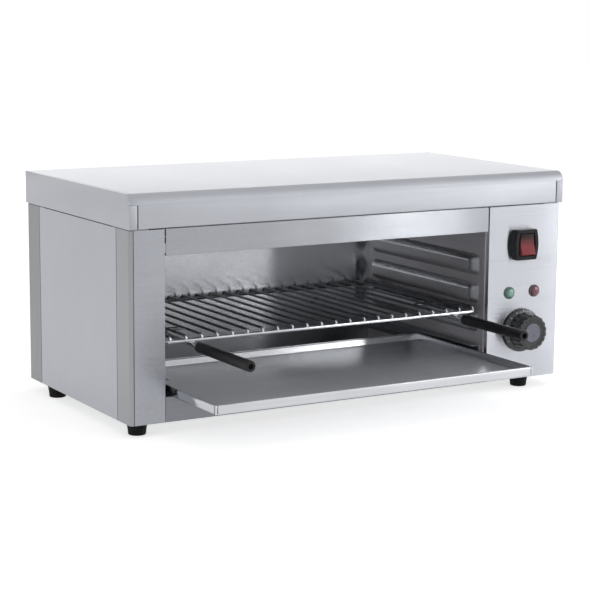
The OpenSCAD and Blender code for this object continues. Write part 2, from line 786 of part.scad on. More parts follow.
// Outline of the switch housing, with bulging sides
module housing_outline() intersection() {
  offset_x = housing_bulge_r - switch_w / 2;
  square([switch_w, switch_tall], center = true);
  translate([offset_x, 0]) circle(housing_bulge_r, $fn = 96);
  translate([-offset_x, 0]) circle(housing_bulge_r, $fn = 96);
}

module switch_housing() color(black) difference() {
  pocket_h = 2 * rocker_r + 4 * joint_gap;
  pocket_w = rocker_w + 2 * joint_gap;
  union() {
    along_y(y_front - switch_out, y_front) translate([x_axis, z_switch]) housing_outline();
    block([x_axis - switch_body_w / 2, y_front - eps, z_switch - switch_body_h / 2],
          [x_axis + switch_body_w / 2, y_front + switch_depth, z_switch + switch_body_h / 2]);
  }
  block([x_axis - pocket_w / 2, y_front - 2 * switch_out, z_switch - pocket_h / 2],
        [x_axis + pocket_w / 2, y_front + pocket_floor, z_switch + pocket_h / 2]);
  bar_x(y_pivot, z_switch, pivot_d + 2 * pivot_play, x_axis - rocker_w / 2 - 3, x_axis + rocker_w / 2 + 3);
}

// Outline of the rocker at mid swing: Y to the right and Z up from the pivot
module rocker_outline() {
  tilt = tan(rocker_swing / 2);
  face = 3.5;
  back = 4;
  intersection() {
    circle(rocker_r, $fn = 96);
    polygon([[back, -rocker_r], [back, rocker_r], [-face - rocker_r * tilt, rocker_r], [-face, 0],
             [-face - rocker_r * tilt, -rocker_r]]);
  }
}

module switch_rocker() color("firebrick") translate([0, y_pivot, z_switch]) {
  rotate([-rocker_swing / 2, 0, 0])
    along_x(x_axis - rocker_w / 2, x_axis + rocker_w / 2) rocker_outline();
  bar_x(0, 0, pivot_d, x_axis - rocker_w / 2 - 2, x_axis + rocker_w / 2 + 2);
}

// Domed lens on the panel's face, on the side given
module lamp_lens(side) {
  flange_t = 1.5;
  dome_d = lens_d - 2.4;
  dome_h = 2.4;
  dome_r = (dome_d * dome_d / 4 + dome_h * dome_h) / (2 * dome_h);
  x = x_axis + side * lamp_spacing / 2;
  bar_y(x, z_lamps, lens_d, y_front - flange_t, y_front);
  intersection() {
    translate([x, y_front - flange_t - dome_h + dome_r, z_lamps]) sphere(dome_r, $fn = 64);
    bar_y(x, z_lamps, dome_d, y_front - flange_t - dome_h - sheet, y_front - flange_t + eps);
  }
}

// Barrel and nut behind a lens
module lamp_body(side) {
  nut_t = 3;
  x = x_axis + side * lamp_spacing / 2;
  bar_y(x, z_lamps, lamp_hole_d - 2 * screw_play, y_front, y_front + lamp_depth);
  hexagon_y(x, z_lamps, lamp_nut_d, y_panel, y_panel + nut_t);
}

module green_lamp_lens() color("mediumseagreen") lamp_lens(-1);

module green_lamp_body() color("darkslategray") lamp_body(-1);

module red_lamp_lens() color("crimson") lamp_lens(1);

module red_lamp_body() color("darkslategray") lamp_body(1);

// ---- thermostat ----

module thermostat_body() color("silver") difference() {
  union() {
    block([x_axis - thermostat_w / 2, y_panel, z_knob - thermostat_w / 2],
          [x_axis + thermostat_w / 2, y_panel + thermostat_depth, z_knob + thermostat_w / 2]);
    bar_y(x_axis, z_knob, thermostat_bush_d, y_front - thermostat_bush_out, y_panel + eps);
  }
  bar_y(x_axis, z_knob, shaft_d + 2 * push_gap, y_front - 2 * thermostat_bush_out, y_front + shaft_root);
  for (side = [-1, 1])
    bar_y(x_axis + side * thermostat_screw_x, z_knob, m4_hole_d, y_front, y_front + 2 * screw_grip);
}

module thermostat_screws() color(bright)
  for (side = [-1, 1]) translate([x_axis + side * thermostat_screw_x, y_front, z_knob])
    rotate([90, 0, 0]) screw(m4_d, screw_grip);

module thermostat_shaft() color("silver")
  bar_y(x_axis, z_knob, shaft_d, y_front - knob_out + shaft_tip, y_front + shaft_root - joint_gap);

module control_knob() color(black) {
  flute_d = 5;
  y_skirt = y_front - knob_gap;
  y_face = y_front - knob_out;
  recess_d = 2 * thermostat_screw_x + head_ratio * m4_d + 3;
  difference() {
    union() {
      bar_y(x_axis, z_knob, knob_d, y_skirt - knob_skirt_t, y_skirt);
      bar_y(x_axis, z_knob, knob_grip_d, y_face, y_skirt - knob_skirt_t + eps);
    }
    bar_y(x_axis, z_knob, recess_d, y_skirt - knob_recess, y_skirt + sheet);
    bar_y(x_axis, z_knob, shaft_d + 2 * push_gap, y_face + shaft_tip - joint_gap, y_skirt);
    for (i = [0 : knob_flutes - 1]) {
      turn = 360 / knob_flutes * (i + 0.5);
      reach = knob_grip_d / 2 + flute_d / 4;
      bar_y(x_axis + reach * sin(turn), z_knob + reach * cos(turn), flute_d, y_face - sheet,
            y_skirt - knob_skirt_t);
    }
  }
}

module thermostat_bulb() color("goldenrod") {
  x_bulb = x_mid + x_wall - joint_gap - bulb_d / 2;
  bar_y(x_bulb, z_element, bulb_d, y_elements - bulb_len / 2, y_elements + bulb_len / 2);
  y_entry = y_panel + thermostat_depth / 2;
  lead([[x_bulb, y_elements, z_element], [x_capillary, y_elements, z_element],
        [x_capillary, y_elements, z_knob], [x_capillary, y_entry, z_knob],
        [x_axis - thermostat_w / 2, y_entry, z_knob]], capillary_d);
}

// ---- mains connection and wiring ----

module terminal_block() color("ivory") {
  block([x_axis - block_w / 2, y_block - block_d / 2, z_pan],
        [x_axis + block_w / 2, y_block + block_d / 2, z_pan + block_h]);
  for (pole = [-1, 1] * lead_offset)
    bar_z(x_axis + pole, y_block, block_pole_d, z_pan + block_h - eps, z_block);
}

module cable_gland() color(black) difference() {
  union() {
    hexagon_y(x_gland, z_gland, gland_hex_d, y_back, y_back + gland_hex_t);
    bar_y(x_gland, z_gland, gland_dome_d, y_back + gland_hex_t - eps, y_back + gland_out);
    bar_y(x_gland, z_gland, gland_thread_d, y_back - gland_inside, y_back + eps);
  }
  bar_y(x_gland, z_gland, gland_bore_d, y_back - 2 * gland_inside, y_back + 2 * gland_out);
}

module gland_nut() color(black) difference() {
  hexagon_y(x_gland, z_gland, gland_hex_d, y_cover - nut_h, y_cover);
  bar_y(x_gland, z_gland, gland_thread_d + 2 * push_gap, y_cover - 2 * nut_h, y_cover + nut_h);
}

module wiring() {
  y_switch = y_front + switch_depth;
  y_stat = y_panel + thermostat_depth;
  left = x_axis - lead_offset;
  right = x_axis + lead_offset;
  jumper = x_pins + lead_offset;
  live = [[left, y_block, z_block], [left, y_block, z_switch], [left, y_switch, z_switch]];
  neutral = [[right, y_block, z_block], [right, y_block, z_knob], [right, y_stat, z_knob]];
  front_feed = [[x_axis, y_stat, z_knob], [x_axis, leg_spots[0], z_knob], [x_axis, leg_spots[0], z_element],
                [x_pins, leg_spots[0], z_element]];
  rear_feed = [[right, y_switch, z_switch], [right, leg_spots[3], z_switch], [right, leg_spots[3], z_element],
               [x_pins, leg_spots[3], z_element]];
  bridge = [[x_pins, leg_spots[1], z_element], [jumper, leg_spots[1], z_element],
            [jumper, leg_spots[2], z_element], [x_pins, leg_spots[2], z_element]];
  for (run = [live, front_feed]) color("saddlebrown") lead(run, lead_d);
  for (run = [neutral, rear_feed]) color("steelblue") lead(run, lead_d);
  color("black") lead(bridge, lead_d);
}

// ---- feet ----

// Tapered foot with a recess for its screw
module foot(spot) translate([spot[0], spot[1], 0]) difference() {
  cylinder(d1 = foot_base_d, d2 = foot_top_d, h = foot_h, $fn = round_fn);
  bar_z(0, 0, foot_head_d + 4 * screw_play, -sheet, foot_recess);
  bar_z(0, 0, m5_d + 2 * screw_play, -sheet, foot_h + sheet);
}

module front_left_foot() color(black) foot(front_left_spot);

module rear_left_foot() color(black) foot(rear_left_spot);

module front_right_foot() color(black) foot(front_right_spot);

module rear_right_foot() color(black) foot(rear_right_spot);

// Screw up through a foot, and its nut on the base pan
module foot_screw(spot) {
  x = spot[0];
  y = spot[1];
  bar_z(x, y, foot_head_d, foot_head_lift, foot_recess);
  bar_z(x, y, m5_d, foot_recess - eps, z_pan + nut_h);
  difference() {
    translate([x, y, z_pan]) cylinder(d = foot_head_d, h = nut_h, $fn = 6);
    bar_z(x, y, m5_d + 2 * push_gap, z_pan - sheet, z_pan + nut_h + sheet);
  }
}

module foot_screws() color(bright) for (spot = foot_spots) foot_screw(spot);

base_pan();
bottom_front_rail();
front_left_post();
left_corner_strip();
left_side_panel();
right_side_panel();
control_panel();
rear_cover();
front_left_upright();
front_right_upright();
rear_left_upright();
rear_right_upright();
hood();
hood_left_end();
hood_right_end();
hood_screws();
top_front_fascia();
left_cavity_wall();
right_cavity_wall();
back_cavity_wall();
ceiling_reflector();
ceiling_wool();
left_tray_runner();
right_tray_runner();
front_element();
rear_element();
element_bushes();
left_element_hanger();
right_element_hanger();
wire_rack();
left_rack_handle();
right_rack_handle();
crumb_tray();
switch_housing();
switch_rocker();
green_lamp_lens();
green_lamp_body();
red_lamp_lens();
red_lamp_body();
thermostat_body();
thermostat_screws();
thermostat_shaft();
control_knob();
thermostat_bulb();
terminal_block();
cable_gland();
gland_nut();
wiring();
front_left_foot();
rear_left_foot();
front_right_foot();
rear_right_foot();
foot_screws();
rear_cover_screws();
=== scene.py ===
"""Looks of a counter-top cheese melter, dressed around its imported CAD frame."""

import logging
import math
from dataclasses import dataclass, field
from enum import Enum
from typing import Callable, Iterable, Sequence

import bmesh
import bpy
from bmesh.types import BMEdge, BMesh, BMFace, BMVert
from mathutils import Matrix, Vector


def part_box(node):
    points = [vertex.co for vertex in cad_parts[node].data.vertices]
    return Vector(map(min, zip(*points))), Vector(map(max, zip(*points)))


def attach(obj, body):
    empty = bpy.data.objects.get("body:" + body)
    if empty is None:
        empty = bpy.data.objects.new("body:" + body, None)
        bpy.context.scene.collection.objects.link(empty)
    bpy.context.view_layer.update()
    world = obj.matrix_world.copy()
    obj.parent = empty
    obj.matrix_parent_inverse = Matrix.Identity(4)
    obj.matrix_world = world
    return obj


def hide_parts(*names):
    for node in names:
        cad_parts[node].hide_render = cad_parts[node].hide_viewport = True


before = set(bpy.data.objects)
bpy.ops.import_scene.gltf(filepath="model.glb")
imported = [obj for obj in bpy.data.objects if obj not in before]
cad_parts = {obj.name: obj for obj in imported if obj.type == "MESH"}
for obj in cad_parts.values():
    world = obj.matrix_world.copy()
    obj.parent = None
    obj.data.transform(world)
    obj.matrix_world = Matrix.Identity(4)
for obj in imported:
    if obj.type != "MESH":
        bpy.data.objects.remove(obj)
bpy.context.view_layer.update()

log = logging.getLogger("cheese_melter")

Tree = bpy.types.NodeTree
Node = bpy.types.Node
Socket = bpy.types.NodeSocket
Inputs = dict[str | int, object]
Point = Sequence[float]
Span = tuple[float, float]
Triple = tuple[float, float, float]

MM = 0.001
# Edges sharper than the first angle stay sharp in the shading, and from the second one a sheet's are rounded.
SHARP_ANGLE, HEM_ANGLE = math.radians(32), math.radians(50)
# Vertices this close are merged, and places this close count as one, in millimetres.
WELD_GAP, NEAR = 0.002, 0.01
# Range in which most values of a noise lie.
NOISE_LOW, NOISE_HIGH = 0.3, 0.7
# Width and length of a brushed sheet's lines in the colour and in the relief, in millimetres, and their lean.
COLOUR_LINE, RELIEF_LINE, LEAN = (1.1, 160.0), (0.1, 0.4), 0.01
COAT_ROUGHNESS, LEAST_ROUGHNESS = 0.08, 0.02
X_AXIS, Y_AXIS, Z_AXIS = (Vector(axis) for axis in ((1, 0, 0), (0, 1, 0), (0, 0, 1)))


class Grain(Enum):
    """Direction in which a sheet was brushed."""

    ALONG_X = "x"
    ALONG_Y = "y"
    ALONG_Z = "z"


class Body(Enum):
    """Rigid body that a piece rides on."""

    BODY = "body"
    RACK = "rack"
    TRAY = "tray"
    KNOB = "knob"
    ROCKER = "rocker"


class Side(Enum):
    """Side of the cavity or the hood, as the sign of its X."""

    LEFT = -1
    RIGHT = 1


# ---- small tools ----


def linear(hex_colour: str) -> tuple[float, float, float, float]:
    """Turns an sRGB hex colour into linear RGBA.

    Args:
        hex_colour: Six hex digits with a leading hash.

    Returns:
        Linear red, green and blue, with an alpha of 1.
    """
    channels = [int(hex_colour[i : i + 2], 16) / 255 for i in (1, 3, 5)]
    red, green, blue = (c / 12.92 if c <= 0.04045 else ((c + 0.055) / 1.055) ** 2.4 for c in channels)
    return red, green, blue, 1.0


def shade(hex_colour: str, factor: float) -> str:
    """Lightens an sRGB hex colour, or darkens it with a factor below 1."""
    channels = [min(255, max(0, round(int(hex_colour[i : i + 2], 16) * factor))) for i in (1, 3, 5)]
    return "#" + "".join(f"{c:02X}" for c in channels)


def empty_tree(owner: bpy.types.Material | bpy.types.World) -> Tree:
    """Turns on the nodes of a material or a world, and clears them.

    Args:
        owner: The material or the world.

    Returns:
        Its empty node tree.
    """
    owner.use_nodes = True
    owner.node_tree.nodes.clear()
    return owner.node_tree


def add_node(tree: Tree, kind: str, inputs: Inputs | None = None, **settings: object) -> Node:
    """Adds a node with its settings, and with what its sockets hold.

    Args:
        tree: Node tree that gets the node.
        kind: Blender's name of the node type.
        inputs: Socket name or number, and its constant or the output that feeds it.
        **settings: Attributes of the node itself.

    Returns:
        The new node.
    """
    node = tree.nodes.new(kind)
    for key, value in settings.items():
        setattr(node, key, value)
    for key, value in (inputs or {}).items():
        if isinstance(value, Socket):
            tree.links.new(value, node.inputs[key])
        else:
            node.inputs[key].default_value = value
    return node


def node_box(name: str) -> tuple[Vector, Vector]:
    """Lowest and highest corners of a CAD node, in millimetres."""
    low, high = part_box(name)
    return low / MM, high / MM


def verts_in(geom: Iterable[object]) -> list[BMVert]:
    """Vertices among what an operator returns."""
    return [g for g in geom if isinstance(g, BMVert)]


# ---- finishes ----


@dataclass(frozen=True)
class Finish:
    """A surface as it was made: colours, gloss and pattern sizes in millimetres.

    Attributes:
        name: Name of the material.
        colour: Mean colour, sRGB hex.
        metallic: 1 for bare metal.
        roughness: Mean roughness.
        spread: How far the roughness wanders either way.
        contrast: How far the colour wanders either way, as a share.
        patch: Size of one patch of the fine pattern along X, Y and Z.
        relief: Height of the fine pattern's bumps.
        cloud: Size of the broad patches.
        edge: Radius of the rounded edges that the shading adds.
        coat: Weight of a clear, glossy coat.
        specular: Level of the plain reflection of what isn't metal.
    """

    name: str
    colour: str
    metallic: float = 0.0
    roughness: float = 0.5
    spread: float = 0.05
    contrast: float = 0.05
    patch: Triple = (0.8, 0.8, 0.8)
    relief: float = 0.02
    cloud: float = 60.0
    edge: float = 0.3
    coat: float = 0.0
    specular: float = 0.5

    def noise(self, tree: Tree, size: Point, detail: float) -> Node:
        """Noise whose patches have a real size.

        Args:
            tree: Node tree of the material.
            size: Patch size along X, Y and Z, in millimetres.
            detail: Octaves of finer noise.

        Returns:
            The noise node.
        """
        place = add_node(tree, "ShaderNodeTexCoord").outputs["Object"]
        scale = tuple(1 / (s * MM) for s in size)
        scaled = add_node(tree, "ShaderNodeMapping", {"Vector": place, "Scale": scale}).outputs["Vector"]
        return add_node(tree, "ShaderNodeTexNoise", {"Vector": scaled, "Scale": 1.0, "Detail": detail})

    def tint(self, tree: Tree, fine: Socket, broad: Socket) -> Socket:
        """Colour that wanders with both patterns.

        Args:
            tree: Node tree of the material.
            fine: Factor of the fine pattern.
            broad: Factor of the broad pattern.

        Returns:
            A colour output.
        """
        both = add_node(tree, "ShaderNodeMath", {0: fine, 1: broad}, operation="ADD").outputs[0]
        span = {"Value": both, "From Min": 2 * NOISE_LOW, "From Max": 2 * NOISE_HIGH}
        ramp = add_node(tree, "ShaderNodeMapRange", span)
        ends = shade(self.colour, 1 - self.contrast), shade(self.colour, 1 + self.contrast)
        return self.between(tree, ramp.outputs["Result"], *ends)

    @staticmethod
    def between(tree: Tree, factor: Socket, low: str, high: str) -> Socket:
        """Colour that runs from one hex colour to another as a factor rises.

        Args:
            tree: Node tree of the material.
            factor: The factor, from 0 to 1.
            low: Colour at 0.
            high: Colour at 1.

        Returns:
            A colour output.
        """
        colours = add_node(tree, "ShaderNodeValToRGB", {"Fac": factor})
        first, last = colours.color_ramp.elements
        first.color, last.color = linear(low), linear(high)
        return colours.outputs["Color"]

    @staticmethod
    def frayed(tree: Tree, level: Socket, fine: Socket, reach: float, shift: float) -> Socket:
        """Level from 0 to 1 that the fine pattern moves by its reach, and that a shift moves as a whole."""
        wander = add_node(tree, "ShaderNodeMath", {0: fine, 1: reach, 2: shift}, operation="MULTIPLY_ADD").outputs[0]
        return add_node(tree, "ShaderNodeMath", {0: level, 1: wander}, operation="ADD", use_clamp=True).outputs[0]

    def rounded(self, tree: Tree) -> Socket:
        """Normal with rounded edges."""
        return add_node(tree, "ShaderNodeBevel", {"Radius": self.edge * MM}, samples=4).outputs["Normal"]

    def normal(self, tree: Tree, fine: Socket, broad: Node) -> Socket:
        """Normal with rounded edges and fine bumps, which leaves the broad pattern out."""
        inputs = {"Strength": 1.0, "Distance": self.relief * MM, "Height": fine, "Normal": self.rounded(tree)}
        return add_node(tree, "ShaderNodeBump", inputs).outputs["Normal"]

    def drawn(self, tree: Tree) -> Inputs:
        """Sockets that draw highlights out, of which a finish without lines has none."""
        return {}

    def material(self) -> bpy.types.Material:
        """Makes the material once.

        Returns:
            The material, which is the same one at every later call.
        """
        found = bpy.data.materials.get(self.name)
        if found:
            return found
        made = bpy.data.materials.new(self.name)
        tree = empty_tree(made)
        fine = self.noise(tree, self.patch, 2.0).outputs["Fac"]
        broad = self.noise(tree, (self.cloud,) * 3, 2.0)
        gloss = {
            "Value": broad.outputs["Fac"],
            "From Min": NOISE_LOW,
            "From Max": NOISE_HIGH,
            "To Min": max(LEAST_ROUGHNESS, self.roughness - self.spread),
            "To Max": self.roughness + self.spread,
        }
        surface = {
            "Base Color": self.tint(tree, fine, broad.outputs["Fac"]),
            "Metallic": self.metallic,
            "Roughness": add_node(tree, "ShaderNodeMapRange", gloss).outputs["Result"],
            "Normal": self.normal(tree, fine, broad),
            "Coat Weight": self.coat,
            "Coat Roughness": COAT_ROUGHNESS,
            "Specular IOR Level": self.specular,
            **self.drawn(tree),
        }
        shader = add_node(tree, "ShaderNodeBsdfPrincipled", surface)
        add_node(tree, "ShaderNodeOutputMaterial", {"Surface": shader.outputs["BSDF"]})
        return made


@dataclass(frozen=True)
class Brushed(Finish):
    """Stainless sheet brushed with a belt, which scatters light across its lines.

    The real lines are about 0.1 mm wide, and the relief keeps that size. Those of the colour are drawn 1.1 mm wide,
    as coarse as they need to show.

    Attributes:
        axis: Direction of the lines.
        scatter: How far the lines tilt the surface either way.
        wave: How far the sheet's broad waves tilt it either way.
        pull: How far highlights are drawn out across the lines, where 1 is farthest.
    """

    metallic: float = 1.0
    spread: float = 0.02
    contrast: float = 0.03
    cloud: float = 120.0
    edge: float = 0.7
    axis: Grain = Grain.ALONG_X
    scatter: float = 0.5
    wave: float = 0.03
    pull: float = 0.0

    def __post_init__(self) -> None:
        """Stretches the fine pattern along the lines."""
        object.__setattr__(self, "patch", self.stretched(*COLOUR_LINE))

    def stretched(self, width: float, length: float) -> tuple[float, ...]:
        """Patch size along X, Y and Z for lines of a width and a length."""
        return tuple(length if letter == self.axis.value else width for letter in "xyz")

    def across(self, tree: Tree) -> Socket:
        """Direction on the surface across the lines.

        The lines lean a little aside, so that a fold that faces along them still has a direction.

        Args:
            tree: Node tree of the material.

        Returns:
            A vector output.
        """
        aside = "y" if self.axis is Grain.ALONG_X else "x"
        along = tuple(1.0 if letter == self.axis.value else LEAN * (letter == aside) for letter in "xyz")
        inputs = {0: self.rounded(tree), 1: along}
        return add_node(tree, "ShaderNodeVectorMath", inputs, operation="CROSS_PRODUCT").outputs["Vector"]

    def drawn(self, tree: Tree) -> Inputs:
        """Sockets that draw highlights out across the lines."""
        return {"Anisotropic": self.pull, "Tangent": self.across(tree)} if self.pull else {}

    def normal(self, tree: Tree, fine: Socket, broad: Node) -> Socket:
        """Normal that the lines tilt across their run and the sheet's waves tilt softly.

        Args:
            tree: Node tree of the material.
            fine: Factor of the fine pattern, which this finish leaves to the colour.
            broad: Noise node of the broad pattern.

        Returns:
            A normal output.
        """
        lines = self.noise(tree, self.stretched(*RELIEF_LINE), 0.0).outputs["Fac"]
        reach = {0: lines, 1: self.scatter * 2, 2: -self.scatter}
        tilt = add_node(tree, "ShaderNodeMath", reach, operation="MULTIPLY_ADD").outputs[0]
        bent = add_node(tree, "ShaderNodeVectorMath", {0: self.across(tree), "Scale": tilt}, operation="SCALE")
        swell = {0: broad.outputs["Color"], 1: (self.wave * 2,) * 3, 2: (-self.wave,) * 3}
        total = add_node(tree, "ShaderNodeVectorMath", swell, operation="MULTIPLY_ADD").outputs["Vector"]
        for part in (bent.outputs["Vector"], self.rounded(tree)):
            total = add_node(tree, "ShaderNodeVectorMath", {0: total, 1: part}, operation="ADD").outputs["Vector"]
        return add_node(tree, "ShaderNodeVectorMath", {0: total}, operation="NORMALIZE").outputs["Vector"]


@dataclass(frozen=True)
class LampLens(Finish):
    """Moulded polycarbonate lens with a painted glow that is lightest at a spot near its middle.

    Attributes:
        centre: Middle of the painted glow, in millimetres.
        radius: Radius of the lens.
        painted_glow_colour: Colour of the painted glow at its middle.
    """

    centre: Triple = (0.0, 0.0, 0.0)
    radius: float = 7.0
    painted_glow_colour: str = "#FFFFFF"

    def tint(self, tree: Tree, fine: Socket, broad: Socket) -> Socket:
        """Colour that runs from the lens's rim to the painted glow at its middle.

        Args:
            tree: Node tree of the material.
            fine: Factor of the fine pattern, which breaks the rings up.
            broad: Factor of the broad pattern, which this finish leaves out.

        Returns:
            A colour output.
        """
        place = add_node(tree, "ShaderNodeTexCoord").outputs["Object"]
        reach = self.radius * MM
        shift = tuple(-c * MM / reach for c in self.centre)
        local = add_node(tree, "ShaderNodeMapping", {"Vector": place, "Location": shift, "Scale": (1 / reach,) * 3})
        away = add_node(tree, "ShaderNodeVectorMath", {0: local.outputs["Vector"]}, operation="LENGTH")
        level = self.frayed(tree, away.outputs["Value"], fine, reach=0.25, shift=-0.12)
        return self.between(tree, level, self.painted_glow_colour, self.colour)


@dataclass(frozen=True)
class PaintedShadeAbove(Finish):
    """Moulded plastic with painted shade above a height, as on a rocker under its housing.

    Attributes:
        level: Height of the change, in millimetres.
        depth: Height over which the change runs.
        painted_shade_colour: Colour of the painted shade above the level.
    """

    level: float = 0.0
    depth: float = 3.0
    painted_shade_colour: str = "#000000"

    def tint(self, tree: Tree, fine: Socket, broad: Socket) -> Socket:
        """Colour that darkens with height to the painted shade.

        Args:
            tree: Node tree of the material.
            fine: Factor of the fine pattern.
            broad: Factor of the broad pattern, which this finish leaves out.

        Returns:
            A colour output.
        """
        place = add_node(tree, "ShaderNodeTexCoord").outputs["Object"]
        height = add_node(tree, "ShaderNodeSeparateXYZ", {0: place}).outputs["Z"]
        low, high = ((self.level + sign * self.depth / 2) * MM for sign in (-1, 1))
        step = add_node(tree, "ShaderNodeMapRange", {"Value": height, "From Min": low, "From Max": high})
        level = self.frayed(tree, step.outputs["Result"], fine, reach=0.2, shift=-0.1)
        return self.between(tree, level, self.colour, self.painted_shade_colour)


# 304 stainless sheet, belt brushed: soft reflections with faint lines and a cold grey tint.
BODY_STEEL = Brushed("brushed_side_steel", "#A6A8AE", roughness=0.3, axis=Grain.ALONG_Z, scatter=0.3)
STRIP_STEEL = Brushed("brushed_strip_steel", "#949699", roughness=0.3, axis=Grain.ALONG_Z, scatter=0.3)
FRONT_STEEL = Brushed("brushed_front_steel", "#9EA0A6", roughness=0.25)
# The bottom rail's darker steel is painted shade from the crumb tray above it.
RAIL_PAINTED_SHADE_STEEL = Brushed("brushed_rail_steel_painted_shade", "#86888D", roughness=0.4)
PANEL_STEEL = Brushed("brushed_panel_steel", "#B3B5BB", roughness=0.17, pull=1.0, scatter=0.35, wave=0.01)
FASCIA_STEEL = Brushed("brushed_fascia_steel", "#9A9CA1", roughness=0.11, wave=0.012)
HOOD_STEEL = Brushed("brushed_hood_steel", "#ABADB3", roughness=0.3, scatter=0.28)
# Where the hood is rolled and folded, the bend has opened the brushed skin, so highlights spread.
ROLL_STEEL = Brushed("rolled_hood_steel", "#A8AAB0", roughness=0.48, scatter=0.6)
# The rear cover is a duller 430 sheet, darker than the rest.
COVER_STEEL = Brushed("dull_cover_steel", "#8C8D90", roughness=0.38, axis=Grain.ALONG_Z, contrast=0.05, scatter=0.3)
# Mill-finish frame and pan sheet: matt, with broad stains.
FRAME_STEEL = Brushed("mill_frame_steel", "#8E9094", roughness=0.45, axis=Grain.ALONG_Z, contrast=0.08)
# Cavity sides: brushed sheet with faint heat stains, dulled by the heat, so a part of the light is spread evenly.
CAVITY_STEEL = Brushed(
    "brushed_cavity_steel", "#BDBCBF", metallic=0.6, roughness=0.3, axis=Grain.ALONG_Y, contrast=0.06, edge=0.9
)
# Shoulders of the pressed ledges: a smoother steel on their upper bends, whose lighter colour is a painted highlight.
# Their front ends are stretched and matt, and darker as painted shade.
SHOULDER_PAINTED_HIGHLIGHT = Brushed("shoulder_steel_painted_highlight", "#E8E9EC", roughness=0.24, axis=Grain.ALONG_Y, scatter=0.1)
LEDGE_END_PAINTED_SHADE = Finish("stretched_end_steel_painted_shade", "#7E7F83", 1.0, 0.5, 0.08, 0.06, (2, 2, 2), 0.01, 30)
# Back and ceiling of the cavity: bright rolled sheet, whose level lines draw reflections out upright.
BACK_STEEL = Brushed(
    "bright_back_steel", "#D1D3D8", roughness=0.18, spread=0.02, contrast=0.02, pull=1.0, scatter=0.35, wave=0.003
)
# Tray floor and lip: sheet dulled by wiping, so a part of the light is spread evenly. Its walls have stayed bright.
TRAY_STEEL = Brushed("wiped_tray_steel", "#D5D7DB", metallic=0.55, roughness=0.24, contrast=0.04, scatter=0.15)
TRAY_WALL_STEEL = Brushed("bright_tray_wall_steel", "#BFC1C5", roughness=0.12, contrast=0.03, scatter=0.4, wave=0.01)
# Nickel-chrome plate on drawn wire: sharp highlights in front, dulled by the heat inside, where its darker colour is
# painted shade.
RACK_CHROME = Finish("plated_rack_wire", "#C2C4C8", 1.0, 0.2, 0.06, 0.06, (3, 3, 3), 0.01, 40, edge=0.2)
RACK_DULLED_PAINTED_SHADE = Finish("heat_dulled_rack_wire_painted_shade", "#6C6D70", 1.0, 0.34, 0.08, 0.12, (3, 9, 3), 0.01, 40, edge=0.2)
# Oxidised nickel-alloy sheath of the elements: near black with brown heat stains.
ELEMENT_SHEATH = Finish("oxidised_element_sheath", "#5A5048", 0.7, 0.5, 0.12, 0.25, (2, 2, 2), 0.03, 30)
# Steatite bushes: glazed, off white.
CERAMIC = Finish("glazed_steatite", "#E4DECF", 0.0, 0.3, 0.06, 0.04, (1.5, 1.5, 1.5), 0.01, 20, coat=0.3)
# Ceramic fibre blanket: matt, tangled fibres, drawn about 1 mm thick so that they show.
WOOL = Finish("ceramic_wool", "#DAD5C6", 0.0, 0.95, 0.04, 0.12, (5, 1.2, 1.2), 0.5, 25)
# Phenolic handle sleeves: hard black, satin, with a little dust.
HANDLE_BLACK = Finish("satin_phenolic", "#111113", 0.0, 0.42, 0.08, 0.3, (1.2, 1.2, 1.2), 0.03, 15, specular=0.3)
# Moulded nylon of the switch: black, slightly glossy.
SWITCH_BLACK = Finish("moulded_black_nylon", "#0D0E13", 0.0, 0.36, 0.06, 0.2, (0.8,) * 3, 0.02, 12, specular=0.22)
# Knob: near-black phenolic with a polished skin.
KNOB_BLACK = Finish("moulded_knob_phenolic", "#121418", 0.0, 0.24, 0.07, 0.18, (0.9,) * 3, 0.01, 14, specular=0.65)
# Insert in the knob's face: brushed grey foil under lacquer.
KNOB_INSERT = Finish("lacquered_knob_insert", "#6C6D79", 0.35, 0.32, 0.05, 0.08, (0.6, 0.6, 4), 0.01, 8)
# Scale of the dial: printed light grey ink, a little thin in places.
DIAL_INK = Finish("dial_ink", "#B9BEC0", 0.0, 0.5, 0.05, 0.1, (0.4, 0.4, 0.4), 0.01, 3)
# Black PA66 of the lamp barrels and the cable gland.
NYLON_BLACK = Finish("black_nylon", "#1D1E20", 0.0, 0.45, 0.06, 0.2, (1, 1, 1), 0.02, 12)
# Natural rubber feet: matt black with a chalky bloom.
RUBBER = Finish("natural_rubber", "#111112", 0.0, 0.75, 0.08, 0.25, (1.5, 1.5, 1.5), 0.05, 10, specular=0.2)
# Zinc-plated steel of the screws and the thermostat: bright with a bluish yellow haze.
ZINC = Finish("zinc_plate", "#B9BBBD", 1.0, 0.3, 0.1, 0.08, (1, 1, 1), 0.01, 6)
# Drawn copper of the bulb and its capillary.
COPPER = Finish("drawn_copper", "#B87B56", 1.0, 0.3, 0.1, 0.1, (2, 1, 1), 0.01, 10)
# Silicone rubber on the leads: soft satin.
LEAD_INSULATION = Finish("silicone_lead", "#8C3A2E", 0.0, 0.5, 0.05, 0.1, (2, 2, 2), 0.02, 15)


# ---- forms ----


